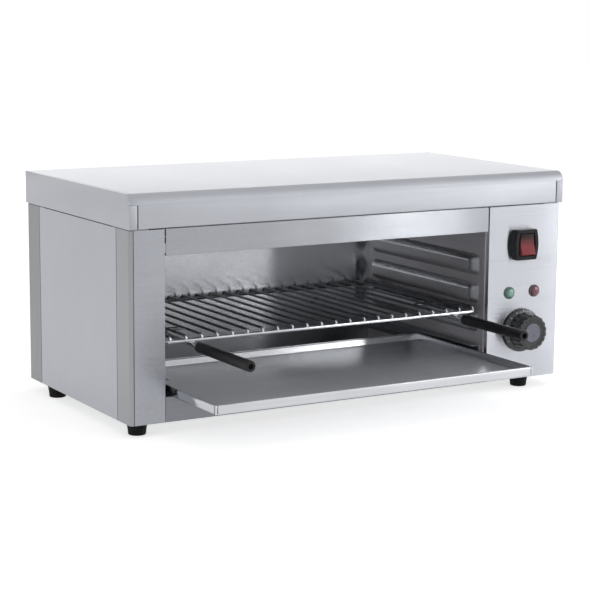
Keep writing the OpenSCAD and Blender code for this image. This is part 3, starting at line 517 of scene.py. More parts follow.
@dataclass
class Form:
    """A mesh in the making, in millimetres, built with bmesh operators."""

    bm: BMesh = field(default_factory=bmesh.new)

    def block(self, low: Point, high: Point, soften: float = 0.0, segments: int = 2) -> list[BMVert]:
        """Adds a block between two corners.

        Args:
            low: Lowest corner.
            high: Highest corner.
            soften: Radius of its edges.
            segments: Segments across each rounded edge.

        Returns:
            The block's vertices before the edges are rounded.
        """
        low, high = Vector(low), Vector(high)
        made = bmesh.ops.create_cube(self.bm, size=1.0)["verts"]
        bmesh.ops.scale(self.bm, vec=high - low, verts=made)
        bmesh.ops.translate(self.bm, vec=(low + high) / 2, verts=made)
        if soften:
            self.soften(self.edges_of(made), soften, segments)
        return made

    def outline(self, corners: Iterable[Point]) -> list[BMVert]:
        """Adds one flat face between corners.

        Args:
            corners: The corners in order.

        Returns:
            The face's vertices.
        """
        points = [self.bm.verts.new(corner) for corner in corners]
        self.bm.faces.new(points)
        return points

    def line(self, places: Iterable[Point]) -> tuple[list[BMVert], list[BMEdge]]:
        """Adds edges from place to place, and returns their vertices and the edges."""
        points = [self.bm.verts.new(place) for place in places]
        return points, [self.bm.edges.new(pair) for pair in zip(points, points[1:])]

    @staticmethod
    def edges_of(verts: Iterable[BMVert]) -> list[BMEdge]:
        """Edges whose ends are both among the vertices."""
        known = dict.fromkeys(verts)
        return list(dict.fromkeys(e for v in known for e in v.link_edges if e.other_vert(v) in known))

    def edges_where(self, test: Callable[[Vector, Vector], bool]) -> list[BMEdge]:
        """Edges whose two ends pass a test."""
        return [e for e in self.bm.edges if test(e.verts[0].co, e.verts[1].co)]

    def mark(self, test: Callable[[Vector], bool]) -> None:
        """Gives the first trim to the faces whose middle passes a test."""
        for face in self.bm.faces:
            face.material_index = int(test(face.calc_center_median()))

    def soften(self, edges: Iterable[BMEdge], radius: float, segments: int = 2) -> None:
        """Rounds edges.

        Args:
            edges: The edges.
            radius: Width taken off each side.
            segments: Segments across the rounding.
        """
        bmesh.ops.bevel(
            self.bm,
            geom=list(edges),
            offset=radius,
            offset_type="OFFSET",
            segments=segments,
            profile=0.5,
            affect="EDGES",
            material=-1,
            clamp_overlap=True,
        )

    def soften_corners(self, points: list[BMVert], radius: float, segments: int) -> None:
        """Rounds corners of a flat face."""
        bmesh.ops.bevel(
            self.bm, geom=points, offset=radius, segments=segments, profile=0.5, affect="VERTICES", material=-1
        )

    def soften_creases(self, radius: float, segments: int = 2, angle: float = 40.0) -> None:
        """Rounds every edge that is sharper than an angle, in degrees."""
        limit = math.radians(angle)
        self.soften([e for e in self.bm.edges if e.is_manifold and e.calc_face_angle() > limit], radius, segments)

    def extrude(self, geom: Sequence[BMEdge | BMFace], step: Point = (0, 0, 0)) -> list[object]:
        """Extrudes edges, or faces as one region.

        Args:
            geom: Edges alone, or faces alone.
            step: How far the new vertices move.

        Returns:
            What the operator made.
        """
        if isinstance(geom[0], BMEdge):
            made = bmesh.ops.extrude_edge_only(self.bm, edges=geom)["geom"]
        else:
            made = bmesh.ops.extrude_face_region(self.bm, geom=geom)["geom"]
        bmesh.ops.translate(self.bm, vec=step, verts=verts_in(made))
        return made

    def cut(self, point: Point, outward: Point, clear: bool = False) -> list[object]:
        """Cuts the whole form along a plane.

        Args:
            point: Point on the plane.
            outward: Direction that the plane faces.
            clear: Whether what lies beyond the plane goes.

        Returns:
            Vertices and edges of the cut.
        """
        return bmesh.ops.bisect_plane(
            self.bm,
            geom=self.bm.verts[:] + self.bm.edges[:] + self.bm.faces[:],
            plane_co=point,
            plane_no=outward,
            clear_outer=clear,
        )["geom_cut"]

    def lathe(self, profile: Sequence[Span], segments: int = 48) -> list[BMVert]:
        """Turns a profile about Z.

        Args:
            profile: Radius and height of each point, from the axis back to the axis for a closed body.
            segments: Steps round the turn.

        Returns:
            The new vertices.
        """
        before = set(self.bm.verts)
        points, lines = self.line((r, 0.0, h) for r, h in profile)
        bmesh.ops.spin(
            self.bm,
            geom=points + lines,
            cent=(0, 0, 0),
            axis=Z_AXIS,
            angle=math.tau,
            steps=segments,
            use_merge=True,
        )
        made = [v for v in self.bm.verts if v not in before]
        bmesh.ops.remove_doubles(self.bm, verts=made, dist=WELD_GAP)
        return [v for v in self.bm.verts if v not in before]

    def bead(self, place: Point, size: Point, subdivisions: int) -> None:
        """Adds a ball that is stretched to its half sizes."""
        matrix = Matrix.Translation(place) @ Matrix.Diagonal((*size, 1))
        bmesh.ops.create_icosphere(self.bm, subdivisions=subdivisions, radius=1.0, matrix=matrix)

    def move(self, matrix: Matrix, verts: Iterable[BMVert] | None = None) -> None:
        """Moves vertices, or the whole form, by a matrix."""
        bmesh.ops.transform(self.bm, matrix=matrix, verts=list(verts or self.bm.verts))

    def close(self) -> None:
        """Merges doubles and turns the faces outwards."""
        bmesh.ops.remove_doubles(self.bm, verts=self.bm.verts, dist=WELD_GAP)
        self.turn_out()

    def turn_out(self) -> None:
        """Turns the faces of closed shells outwards."""
        bmesh.ops.recalc_face_normals(self.bm, faces=self.bm.faces)

    def turn_sheet(self, key: Callable[[BMFace], float], outward: Vector) -> None:
        """Turns an open sheet so that one of its faces looks outwards.

        Args:
            key: Measure whose highest value picks the face.
            outward: Direction in which that face looks.
        """
        self.turn_out()
        if max(self.bm.faces, key=key).normal.dot(outward) < 0:
            bmesh.ops.reverse_faces(self.bm, faces=self.bm.faces)

    def link(self, name: str) -> bpy.types.Object:
        """Turns the form to metres and links it as a smooth object, which frees the form.

        Args:
            name: Name of the object and its mesh.

        Returns:
            The object.
        """
        bmesh.ops.scale(self.bm, vec=(MM,) * 3, verts=self.bm.verts)
        for edge in self.bm.edges:
            edge.smooth = not (edge.is_manifold and edge.calc_face_angle() > SHARP_ANGLE)
        for face in self.bm.faces:
            face.smooth = True
        mesh = bpy.data.meshes.new(name)
        self.bm.to_mesh(mesh)
        self.bm.free()
        made = bpy.data.objects.new(name, mesh)
        bpy.context.scene.collection.objects.link(made)
        return made

    def finish(
        self,
        name: str,
        finish: Finish,
        slot: str,
        body: Body,
        replaces: Sequence[str] = (),
        sheet: float = 0.0,
        hem: float = 0.0,
        trims: Sequence[Finish] = (),
    ) -> None:
        """Makes the form a piece of the object.

        Args:
            name: Name of the piece.
            finish: Its surface.
            slot: The record's material slot, which is not used.
            body: Body that it rides on.
            replaces: CAD nodes that it stands for.
            sheet: Thickness given to an open surface, in millimetres.
            hem: Radius of the edges of that sheet.
            trims: More surfaces, for faces whose material index is 1 or more.
        """
        piece = self.link(name)
        if sheet:
            wall = piece.modifiers.new("wall", "SOLIDIFY")
            wall.thickness, wall.offset, wall.use_even_offset = sheet * MM, -1.0, True
        if hem:
            edges = piece.modifiers.new("edges", "BEVEL")
            edges.width, edges.segments, edges.limit_method = hem * MM, 2, "ANGLE"
            edges.angle_limit = HEM_ANGLE
        for surface in (finish, *trims):
            piece.data.materials.append(surface.material())
        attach(piece, body.value)
        if replaces:
            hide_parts(*replaces)
        log.info("%s: %d faces, rides on %s", name, len(piece.data.polygons), body.value)


@dataclass
class Wire:
    """A round bar that is drawn forward by runs and turns.

    Attributes:
        form: Form that gets the bar.
        start: Middle of its first end.
        heading: Direction in which it sets out.
        radius: Radius of the bar.
        sides: Sides of its section.
    """

    form: Form
    start: Point
    heading: Vector
    radius: float
    sides: int = 10
    ring: list[BMEdge] = field(init=False)

    def __post_init__(self) -> None:
        """Draws the first ring, with its end closed."""
        turn = Z_AXIS.rotation_difference(self.heading).to_matrix().to_4x4()
        made = bmesh.ops.create_circle(
            self.form.bm,
            cap_ends=True,
            segments=self.sides,
            radius=self.radius,
            matrix=Matrix.Translation(self.start) @ turn,
        )["verts"]
        self.ring = Form.edges_of(made)

    def run(self, length: float) -> "Wire":
        """Goes straight on.

        Args:
            length: How far.

        Returns:
            The wire.
        """
        made = self.form.extrude(self.ring, self.heading * length)
        self.ring = [g for g in made if isinstance(g, BMEdge) and all(v in made for v in g.verts)]
        return self

    def turn(self, centre: Point, axis: Vector, angle: float, steps: int = 5) -> "Wire":
        """Bends about a centre.

        Args:
            centre: Point that the bend turns about.
            axis: Axis of the bend.
            angle: Angle of the bend, in degrees.
            steps: Segments along the bend.

        Returns:
            The wire.
        """
        spun = bmesh.ops.spin(
            self.form.bm,
            geom=self.ring + list(dict.fromkeys(v for e in self.ring for v in e.verts)),
            cent=centre,
            axis=axis,
            angle=math.radians(angle),
            steps=steps,
        )["geom_last"]
        self.heading = Matrix.Rotation(math.radians(angle), 3, axis) @ self.heading
        self.ring = [g for g in spun if isinstance(g, BMEdge)]
        return self

    def end(self) -> None:
        """Closes the last end."""
        bmesh.ops.contextual_create(self.form.bm, geom=self.ring)


def facing_front(x: float, y: float, z: float) -> Matrix:
    """Matrix that stands a form turned about Z at a point, with its Z towards the front."""
    return Matrix.Translation((x, y, z)) @ Matrix.Rotation(math.radians(90), 4, "X")


# ---- sub-assemblies ----


@dataclass
class Casing:
    """Panels, frame and covers that keep their CAD shapes and get their finishes.

    Attributes:
        finishes: Each finish, with the CAD nodes that get it.
    """

    finishes: tuple[tuple[Finish, tuple[str, ...]], ...] = (
        (BODY_STEEL, ("left_side_panel", "right_side_panel")),
        (STRIP_STEEL, ("left_corner_strip",)),
        (FRONT_STEEL, ("front_left_post",)),
        (RAIL_PAINTED_SHADE_STEEL, ("bottom_front_rail",)),
        (PANEL_STEEL, ("control_panel",)),
        (FASCIA_STEEL, ("top_front_fascia",)),
        (FRAME_STEEL, ("base_pan", "left_tray_runner", "right_tray_runner")),
        (FRAME_STEEL, ("front_left_upright", "front_right_upright", "rear_left_upright", "rear_right_upright")),
        (FRAME_STEEL, ("left_element_hanger", "right_element_hanger")),
        (COVER_STEEL, ("rear_cover",)),
        (BACK_STEEL, ("back_cavity_wall", "ceiling_reflector")),
        (WOOL, ("ceiling_wool",)),
        (CERAMIC, ("element_bushes", "terminal_block")),
        (NYLON_BLACK, ("green_lamp_body", "red_lamp_body", "gland_nut")),
        (ZINC, ("thermostat_body", "thermostat_shaft", "thermostat_screws")),
        (ZINC, ("hood_screws", "foot_screws", "rear_cover_screws")),
        (COPPER, ("thermostat_bulb",)),
        (LEAD_INSULATION, ("wiring",)),
    )

    def build(self) -> None:
        """Dresses every CAD node that stays."""
        for finish, names in self.finishes:
            for name in names:
                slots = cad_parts[name].material_slots
                for slot in slots:
                    slot.material = finish.material()
                log.info("%s: %s on %d slots", name, finish.name, len(slots))


@dataclass
class Hood:
    """Hood sheet with a rolled front edge, and two folded end plates.

    Attributes:
        sheet: Thickness of the steel.
        roll: Outer radius of the roll along the front edge.
        roll_steps: Segments across the roll.
        fold: Outer radius of the other folds.
        flange: Width of the end plates' front flanges.
        seam: Gap beside the flanges.
        hem: Depth of the bottom returns.
        edge: Radius of the sheets' cut edges.
    """

    sheet: float = 1.0
    roll: float = 12.0
    roll_steps: int = 14
    fold: float = 1.4
    flange: float = 9.5
    seam: float = 1.2
    hem: float = 12.0
    edge: float = 0.25

    def build_top(self) -> None:
        """Builds the sheet that runs from the front return over the top to the rear return."""
        low, high = node_box("hood")
        reach = self.sheet + self.hem
        form = Form()
        front = [(low.y + reach, low.z), (low.y, low.z), (low.y, high.z)]
        rear = [(high.y, high.z), (high.y, low.z), (high.y - reach, low.z)]
        _, lines = form.line((low.x, y, z) for y, z in front + rear)
        form.extrude(lines, (high.x - low.x, 0, 0))
        form.soften(self.long_edges(form, low.y, high.z), self.roll, self.roll_steps)
        for y, z in ((low.y, low.z), (high.y, high.z), (high.y, low.z)):
            form.soften(self.long_edges(form, y, z), self.fold, 4)
        self.notch(form, low, high)
        form.turn_sheet(lambda f: f.calc_center_median().z, Z_AXIS)
        form.mark(lambda p: p.y < low.y + self.roll and p.z > high.z - self.roll)
        trims = (ROLL_STEEL,)
        form.finish("hood_sheet", HOOD_STEEL, "hood_steel", Body.BODY, ["hood"], self.sheet, self.edge, trims)

    @staticmethod
    def long_edges(form: Form, y: float, z: float) -> list[BMEdge]:
        """Edges that run along X at a place in Y and Z."""
        return form.edges_where(lambda a, b: all(abs(p.y - y) < NEAR and abs(p.z - z) < NEAR for p in (a, b)))

    def notch(self, form: Form, low: Vector, high: Vector) -> None:
        """Cuts the front drop away where the end plates' flanges lie.

        Args:
            form: The hood sheet.
            low: Lowest corner of the hood.
            high: Highest corner of the hood.
        """
        stop = high.x + self.sheet - self.flange - self.seam
        for x in (-stop, stop):
            form.cut((x, 0, 0), X_AXIS)
        roll_start, inmost = high.z - self.roll + NEAR, low.y + self.sheet + self.hem
        middles = ((face, face.calc_center_median()) for face in form.bm.faces)
        lost = [face for face, p in middles if abs(p.x) > stop and p.z < roll_start and p.y < inmost]
        bmesh.ops.delete(form.bm, geom=lost, context="FACES")

    def build_end(self, side: Side) -> None:
        """Builds one end plate, with its front flange and its bottom return.

        Args:
            side: End of the hood.
        """
        node = f"hood_{side.name.lower()}_end"
        low, high = node_box(node)
        x = low.x if side is Side.LEFT else high.x
        reach = self.sheet + self.hem
        form = Form()
        corners = [(low.y, low.z), (high.y, low.z), (high.y, high.z), (low.y, high.z)]
        points = form.outline((x, y, z) for y, z in corners)
        form.soften_corners([points[3]], self.roll, self.roll_steps)
        front = form.edges_where(lambda a, b: max(a.y, b.y) < low.y + NEAR and abs(a.z - b.z) > self.roll)
        bottom = form.edges_where(lambda a, b: max(a.z, b.z) < low.z + NEAR)
        form.extrude(front, (-side.value * self.flange, 0, 0))
        hem = verts_in(form.extrude(bottom, (-side.value * reach, 0, 0)))
        min(hem, key=lambda v: v.co.y).co.y += reach + self.seam
        folds = form.edges_where(lambda a, b: abs(a.x - x) < NEAR and abs(b.x - x) < NEAR)
        form.soften([e for e in folds if len(e.link_faces) == 2], self.fold, 4)
        form.turn_sheet(lambda f: f.calc_area(), X_AXIS * side.value)
        form.mark(lambda p: p.y < low.y + self.fold)
        trims = (ROLL_STEEL,)
        form.finish(node + "_plate", HOOD_STEEL, "body_steel", Body.BODY, [node], self.sheet, self.edge, trims)

    def build(self) -> None:
        """Builds the hood's three sheets."""
        self.build_top()
        for side in Side:
            self.build_end(side)


@dataclass
class CavityWall:
    """Side wall of the cavity with its pressed ledges.

    Attributes:
        side: Side of the cavity.
        sheet: Thickness of the steel.
        ledge_height: Height of each pressed panel.
        ledge_tops: Heights of the panels' top edges above the cavity wall's foot.
        ledge_inset: Distance of the panels from the wall's ends.
        root: How far the panels' rims sink into the wall.
        corner: Corner radius of the panels.
        shoulder: Radius where a panel's rim turns to its face.
        draft: How far the pressing draws in at its ends, its foot and its top.
        end_slope: How much along Y a face of a stretched front end looks, at least, to get painted shade.
        shoulder_slope: How much along Z a face of a shoulder looks, at least, to get the painted highlight.
        shoulder_start: Where the shoulders start, as a share of the panels' depth.
    """

    side: Side
    sheet: float = 1.0
    ledge_height: float = 26.0
    ledge_tops: tuple[float, ...] = (85.5, 121.5, 157.5)
    ledge_inset: float = 11.0
    root: float = 0.4
    corner: float = 7.0
    shoulder: float = 6.0
    draft: Triple = (7.0, 4.0, 3.0)
    end_slope: float = 0.3
    shoulder_slope: float = 0.05
    shoulder_start: float = 0.4

    def build(self) -> None:
        """Builds the wall and its panels as one pressing."""
        node = f"{self.side.name.lower()}_cavity_wall"
        low, high = node_box(node)
        outer = low.x if self.side is Side.LEFT else high.x
        face = outer - self.side.value * self.sheet
        depth = (high.x - low.x) - self.sheet
        form = Form()
        form.block((min(outer, face), low.y, low.z), (max(outer, face), high.y, high.z))
        for top in self.ledge_tops:
            self.press(form, face, -self.side.value * depth, (low.y, high.y), low.z + top)
        form.close()
        trims = SHOULDER_PAINTED_HIGHLIGHT, LEDGE_END_PAINTED_SHADE
        form.finish(node + "_pressing", CAVITY_STEEL, "cavity_steel", Body.BODY, [node], trims=trims)

    def press(self, form: Form, face: float, depth: float, span: Span, top: float) -> None:
        """Raises one panel from the wall.

        Args:
            form: The wall.
            face: Where the wall's inner face lies in X.
            depth: How far the panel stands out, with its sign.
            span: Ends of the wall in Y.
            top: Height of the panel's top edge.
        """
        before = set(form.bm.verts)
        start, stop = span[0] + self.ledge_inset, span[1] - self.ledge_inset
        foot = top - self.ledge_height
        root = face - math.copysign(self.root, depth)
        corners = (start, foot), (stop, foot), (stop, top), (start, top)
        form.soften_corners(form.outline((root, y, z) for y, z in corners), self.corner, 6)
        base = next(f for f in form.bm.faces if len(f.verts) > 4 and not set(f.verts) & before)
        lifted = verts_in(form.extrude([base]))
        ends, under, over = self.draft
        middle, half = (start + stop) / 2, (stop - start) / 2
        for vert in lifted:
            rise = (vert.co.z - foot) / self.ledge_height
            y = middle + (vert.co.y - middle) * (half - ends) / half
            vert.co = Vector((face + depth, y, vert.co.z + under * (1 - rise) - over * rise))
        level = min(vert.co.z for vert in lifted) + self.ledge_height / 2
        form.soften(Form.edges_of(lifted), self.shoulder, 4)
        form.bm.normal_update()
        shoulder_start = abs(depth) * self.shoulder_start
        # Faces of the front ends get painted shade, and up-facing faces of the upper shoulders a painted highlight.
        for bend in form.bm.faces:
            place, slope = bend.calc_center_median(), bend.normal
            if set(bend.verts) & before:
                continue
            if abs(slope.y) > self.end_slope and place.y < middle:
                bend.material_index = 2
            elif abs(place.x - root) > shoulder_start and abs(slope.z) > self.shoulder_slope and place.z > level:
                bend.material_index = 1


@dataclass
class WireRack:
    """Welded wire rack with two handle rods.

    Attributes:
        frame_d: Diameter of the frame and the cross wires.
        wire_d: Diameter of the long wires.
        rod_d: Diameter of the handle rods.
        wires: Number of long wires.
        frame_bend: Bend radius of the frame on its centre line.
        wire_bend: Bend radius of the long wires' ends.
        outer_inset: Distance of the outer long wires from the frame's sides.
        wire_rise: Height of the long wires above the frame.
        rod_run: How far the handle rods run back under the rack.
        weld: How far crossing wires sink into each other.
        handle_inset: Distance of the rods from the frame's sides.
        sleeve_gap: Distance of the front wire behind the handle sleeves.
        bead: Half sizes of the weld beads on the frame.
        bead_rise: Height of those beads above the frame's middle.
        rod_bead: Half sizes of the weld beads on the rods.
        rod_bead_sink: How far those beads sink into the rods.
        tie: Half length of the bars that hold the rods, as a share of the long wires' pitch.
    """

    frame_d: float = 4.5
    wire_d: float = 3.2
    rod_d: float = 6.0
    wires: int = 22
    frame_bend: float = 8.0
    wire_bend: float = 3.0
    outer_inset: float = 5.25
    wire_rise: float = 5.5
    rod_run: float = 62.0
    weld: float = 0.4
    handle_inset: float = 32.0
    sleeve_gap: float = 20.0
    bead: Triple = (2.3, 2.5, 1.9)
    bead_rise: float = 0.4
    rod_bead: Triple = (4.2, 3.4, 1.7)
    rod_bead_sink: float = 0.3
    tie: float = 0.9

    def build(self) -> None:
        """Builds the rack from its wires."""
        low, high = node_box("wire_rack")
        form = Form()
        half = self.frame_d / 2
        left, right = low.x + half, high.x - half
        rear = high.y - half
        front = node_box("left_rack_handle")[1].y + self.sleeve_gap
        top = high.z - self.wire_d / 2
        level = top - self.wire_rise
        self.frame_loop(form, (left, right), (front, rear), level)
        first, last = left + self.outer_inset, right - self.outer_inset
        pitch = (last - first) / (self.wires - 1)
        columns = [first + i * pitch for i in range(self.wires)]
        for x in columns:
            self.long_wire(form, x, (front, rear), (level, top))
        for x in columns:
            for y in (front, rear):
                form.bead((x, y, level + self.bead_rise), self.bead, 1)
        for x in (left + self.handle_inset, right - self.handle_inset):
            self.rod(form, x, (low.y, front), (level, top), pitch * self.tie)
        form.turn_out()
        # The wires behind the front wire get the darker finish, painted shade of the cavity.
        form.mark(lambda p: p.y > front + self.frame_d)
        form.finish("rack_wires", RACK_CHROME, "rack_chrome", Body.RACK, ["wire_rack"], trims=(RACK_DULLED_PAINTED_SHADE,))

    def frame_loop(self, form: Form, span_x: Span, span_y: Span, z: float) -> None:
        """Bends the frame wire round the rack.

        Args:
            form: The rack.
            span_x: Middles of the side wires.
            span_y: Middles of the front and rear wires.
            z: Height of the frame.
        """
        r = self.frame_bend
        (x0, x1), (y0, y1) = span_x, span_y
        half_run = (x1 - x0) / 2 - r
        wire = Wire(form, ((x0 + x1) / 2, y0, z), X_AXIS, self.frame_d / 2).run(half_run)
        wire.turn((x1 - r, y0 + r, z), Z_AXIS, 90).run(y1 - y0 - 2 * r)
        wire.turn((x1 - r, y1 - r, z), Z_AXIS, 90).run(x1 - x0 - 2 * r)
        wire.turn((x0 + r, y1 - r, z), Z_AXIS, 90).run(y1 - y0 - 2 * r)
        wire.turn((x0 + r, y0 + r, z), Z_AXIS, 90).run(half_run).end()

    def long_wire(self, form: Form, x: float, span_y: Span, levels: Span) -> None:
        """Bends one long wire, turned down onto the frame at both ends.

        Args:
            form: The rack.
            x: Where the wire lies.
            span_y: Middles of the front and rear wires.
            levels: Heights of the frame and of the wire.
        """
        r = self.wire_bend
        (y0, y1), (level, top) = span_y, levels
        wire = Wire(form, (x, y0, level), Z_AXIS, self.wire_d / 2, 8).run(top - level - r)
        wire.turn((x, y0 + r, top - r), X_AXIS, -90, 4).run(y1 - y0 - 2 * r)
        wire.turn((x, y1 - r, top - r), X_AXIS, -90, 4).run(top - level - r).end()

    def rod(self, form: Form, x: float, span_y: Span, levels: Span, tie: float) -> None:
        """Adds one handle rod, welded under the front wire and to a short bar under the long wires.

        Args:
            form: The rack.
            x: Where the rod lies.
            span_y: Where the rod's tip and the middle of the front wire are.
            levels: Heights of the frame and of the long wires.
            tie: Half length of the short bar.
        """
        (tip, front), (level, top) = span_y, levels
        z = level - (self.frame_d + self.rod_d) / 2 + self.weld
        under = top - (self.wire_d + self.frame_d) / 2 + self.weld
        end = front + self.rod_run
        Wire(form, (x, tip, z), Y_AXIS, self.rod_d / 2, 16).run(end - tip).end()
        Wire(form, (x, end, z), Z_AXIS, self.frame_d / 2).run(under - z).end()
        Wire(form, (x - tie, end, under), X_AXIS, self.frame_d / 2).run(2 * tie).end()
        form.bead((x, front, z + self.rod_d / 2 - self.rod_bead_sink), self.rod_bead, 2)


@dataclass
class HandleSleeve:
    """Hollow-ended sleeve over one handle rod.

    Attributes:
        side: Side of the rack.
        bore: Diameter of the hole in its end.
        edge: Radius of its ends' edges.
    """

    side: Side
    bore: float = 6.2
    edge: float = 1.1

    def build(self) -> None:
        """Turns the sleeve."""
        node = f"{self.side.name.lower()}_rack_handle"
        low, high = node_box(node)
        r, length = (high.x - low.x) / 2, high.y - low.y
        hole = self.bore / 2
        form = Form()
        form.lathe([(hole, 0), (r, 0), (r, length), (hole, length), (hole, 0)], 40)
        form.close()
        ends = form.edges_where(
            lambda a, b: abs(a.z - b.z) < NEAR
            and min(a.z, length - a.z) < NEAR
            and all(abs(p.xy.length - r) < NEAR for p in (a, b))
        )
        form.soften(ends, self.edge, 4)
        form.move(facing_front((low.x + high.x) / 2, high.y, (low.z + high.z) / 2))
        form.finish(node + "_sleeve", HANDLE_BLACK, "handle_plastic", Body.RACK, [node])


@dataclass
class CrumbTray:
    """Folded crumb tray with a hollow front lip and hemmed sides.

    Attributes:
        sheet: Thickness of the steel.
        lip: Depth of the folded front lip.
        wrap: Width of the side walls' laps on the front.
        seam: Gap between the laps and the lip.
        hem: Radius of the rolled hem on the sides and the rear.
        lean: How far the foot of the rear wall is set in.
        setback: How far the laps lie behind the lip and end below it.
        edges: Edge radii of the floor, the lip, the laps and the walls.
    """

    sheet: float = 1.0
    lip: float = 4.0
    wrap: float = 2.4
    seam: float = 0.7
    hem: float = 1.0
    lean: float = 2.2
    setback: Span = (0.3, 0.2)
    edges: tuple[float, float, float, float] = (0.3, 1.1, 0.8, 0.2)

    def build(self) -> None:
        """Folds the tray."""
        low, high = node_box("crumb_tray")
        form = Form()
        start, front = low.y + self.lip / 2, low.y + self.lip
        lip_ends = low.x + self.wrap + self.seam, high.x - self.wrap - self.seam
        floor_edge, lip_edge, lap_edge, wall_edge = self.edges
        behind, below = self.setback
        form.block((low.x, start, low.z), (high.x, high.y, low.z + self.sheet), floor_edge)
        form.block((lip_ends[0], low.y, low.z), (lip_ends[1], front, high.z), lip_edge, 4)
        for x in (low.x, high.x - self.wrap):
            form.block((x, low.y + behind, low.z), (x + self.wrap, front, high.z - below), lap_edge, 3)
        wiped = set(form.bm.faces)
        z = high.z - self.hem
        for x in (low.x, high.x - self.sheet):
            form.block((x, start, low.z), (x + self.sheet, high.y, z), wall_edge)
        for vert in form.block((low.x, high.y - self.sheet, low.z), (high.x, high.y, z)):
            if vert.co.z < low.z + self.sheet:
                vert.co.y -= self.lean
        left, right, rear = low.x + self.hem, high.x - self.hem, high.y - self.hem
        for x in (left, right):
            Wire(form, (x, front, z), Y_AXIS, self.hem).run(rear - front).end()
        Wire(form, (left, rear, z), X_AXIS, self.hem).run(right - left).end()
        for face in form.bm.faces:
            face.material_index = 0 if face in wiped else 1
        form.turn_out()
        trims = (TRAY_WALL_STEEL,)
        form.finish("crumb_tray_pressing", TRAY_STEEL, "tray_steel", Body.TRAY, ["crumb_tray"], trims=trims)


@dataclass
class SwitchUnit:
    """Rocker switch in a barrel-shaped housing.

    Attributes:
        width: Width of the housing at its middle.
        height: Height of the housing.
        bulge: Radius of its bulging sides.
        side_cuts: Cuts that let each side bulge.
        rim: Width of the rim round the rocker.
        edge: Radius of the housing's front edges.
        pocket_floor: Height of the pocket's floor over the panel.
        pivot_depth: Distance of the rocker's pivot behind the housing's front.
        rocker_radius: Radius of the rocker about its pivot.
        rocker_width: Width of the rocker.
        rocker_edge: Radius of the rocker's edges.
        swing: Whole swing of the rocker, in degrees.
        face: Distance of the rocker's waist in front of its pivot.
        back: Distance of the rocker's back behind its pivot.
        painted_shade_height: Height above the switch's middle from which the rocker has painted shade.
    """

    width: float = 35.0
    height: float = 38.0
    bulge: float = 60.0
    side_cuts: int = 15
    rim: float = 4.6
    edge: float = 2.2
    pocket_floor: float = 0.8
    pivot_depth: float = 3.8
    rocker_radius: float = 14.0
    rocker_width: float = 21.0
    rocker_edge: float = 0.7
    swing: float = 18.0
    face: float = 3.5
    back: float = 4.0
    painted_shade_height: float = 4.0

    def build(self) -> None:
        """Builds the housing and its rocker."""
        low, high = node_box("switch_housing")
        centre = (low + high) / 2
        self.housing(centre, low.y, node_box("control_panel")[0].y)
        self.rocker(centre, low.y + self.pivot_depth)

    def housing(self, centre: Vector, face: float, panel: float) -> None:
        """Builds the housing, with its pocket.

        Args:
            centre: Middle of the switch in X and Z.
            face: Front of the housing.
            panel: Front of the control panel.
        """
        form = Form()
        half_w, half_h, height = self.width / 2, self.height / 2, panel - face
        form.outline([(-half_w, -half_h, 0), (half_w, -half_h, 0), (half_w, half_h, 0), (-half_w, half_h, 0)])
        upright = form.edges_where(lambda a, b: abs(a.x - b.x) < NEAR)
        bmesh.ops.subdivide_edges(form.bm, edges=upright, cuts=self.side_cuts)
        bmesh.ops.dissolve_faces(form.bm, faces=form.bm.faces[:])
        for vert in form.bm.verts:
            sag = self.bulge - math.sqrt(self.bulge**2 - vert.co.y**2)
            vert.co.x -= math.copysign(sag, vert.co.x)
        made = form.extrude(form.bm.faces[:], (0, 0, height))
        crown = next(g for g in made if isinstance(g, BMFace))
        bmesh.ops.inset_region(form.bm, faces=[crown], thickness=self.rim, use_even_offset=True)
        inner = set(crown.verts)
        outer_edges = [e for e in Form.edges_of(verts_in(made)) if not (set(e.verts) & inner)]
        form.extrude([crown], (0, 0, self.pocket_floor - height))
        if crown.is_valid:
            bmesh.ops.delete(form.bm, geom=[crown], context="FACES_ONLY")
        form.soften(outer_edges, self.edge, 4)
        form.close()
        form.move(facing_front(centre.x, panel, centre.z))
        form.finish("switch_surround", SWITCH_BLACK, "switch_plastic", Body.BODY, ["switch_housing"])

    def rocker(self, centre: Vector, pivot: float) -> None:
        """Cuts the rocker from a round bar, with two front faces that meet in a shallow valley.

        Args:
            centre: Middle of the switch in X and Z.
            pivot: Place of the pivot in Y.
        """
        form = Form()
        half, tilt = self.rocker_width / 2, math.radians(self.swing / 2)
        Wire(form, (-half, 0, 0), X_AXIS, self.rocker_radius, 72).run(self.rocker_width).end()
        form.close()
        self.slice(form, (0, self.back, 0), Y_AXIS)
        self.slice(form, (0, -self.face - self.rocker_radius * math.tan(tilt), 0), -Y_AXIS)
        for vert in verts_in(form.cut((0, 0, 0), Z_AXIS)):
            if vert.co.y < -self.face:
                vert.co.y = -self.face
        form.soften_creases(self.rocker_edge, 3, 35)
        form.move(Matrix.Translation((centre.x, pivot, centre.z)) @ Matrix.Rotation(-tilt, 4, "X"))
        # Above the switch's middle the rocker's red darkens to painted shade, the shade of its housing.
        finish = PaintedShadeAbove(
            "moulded_red_rocker_painted_shade",
            "#8C3C40",
            roughness=0.38,
            spread=0.04,
            contrast=0.08,
            cloud=10,
            specular=0.15,
            level=centre.z + self.painted_shade_height,
            depth=12.0,
            painted_shade_colour="#1C0E0E",
        )
        form.finish("switch_rocker_cap", finish, "rocker_red", Body.ROCKER, ["switch_rocker"])

    @staticmethod
    def slice(form: Form, point: Point, outward: Vector) -> None:
        """Cuts away what lies beyond a plane and closes the cut."""
        edges = [g for g in form.cut(point, outward, clear=True) if isinstance(g, BMEdge)]
        bmesh.ops.contextual_create(form.bm, geom=edges)


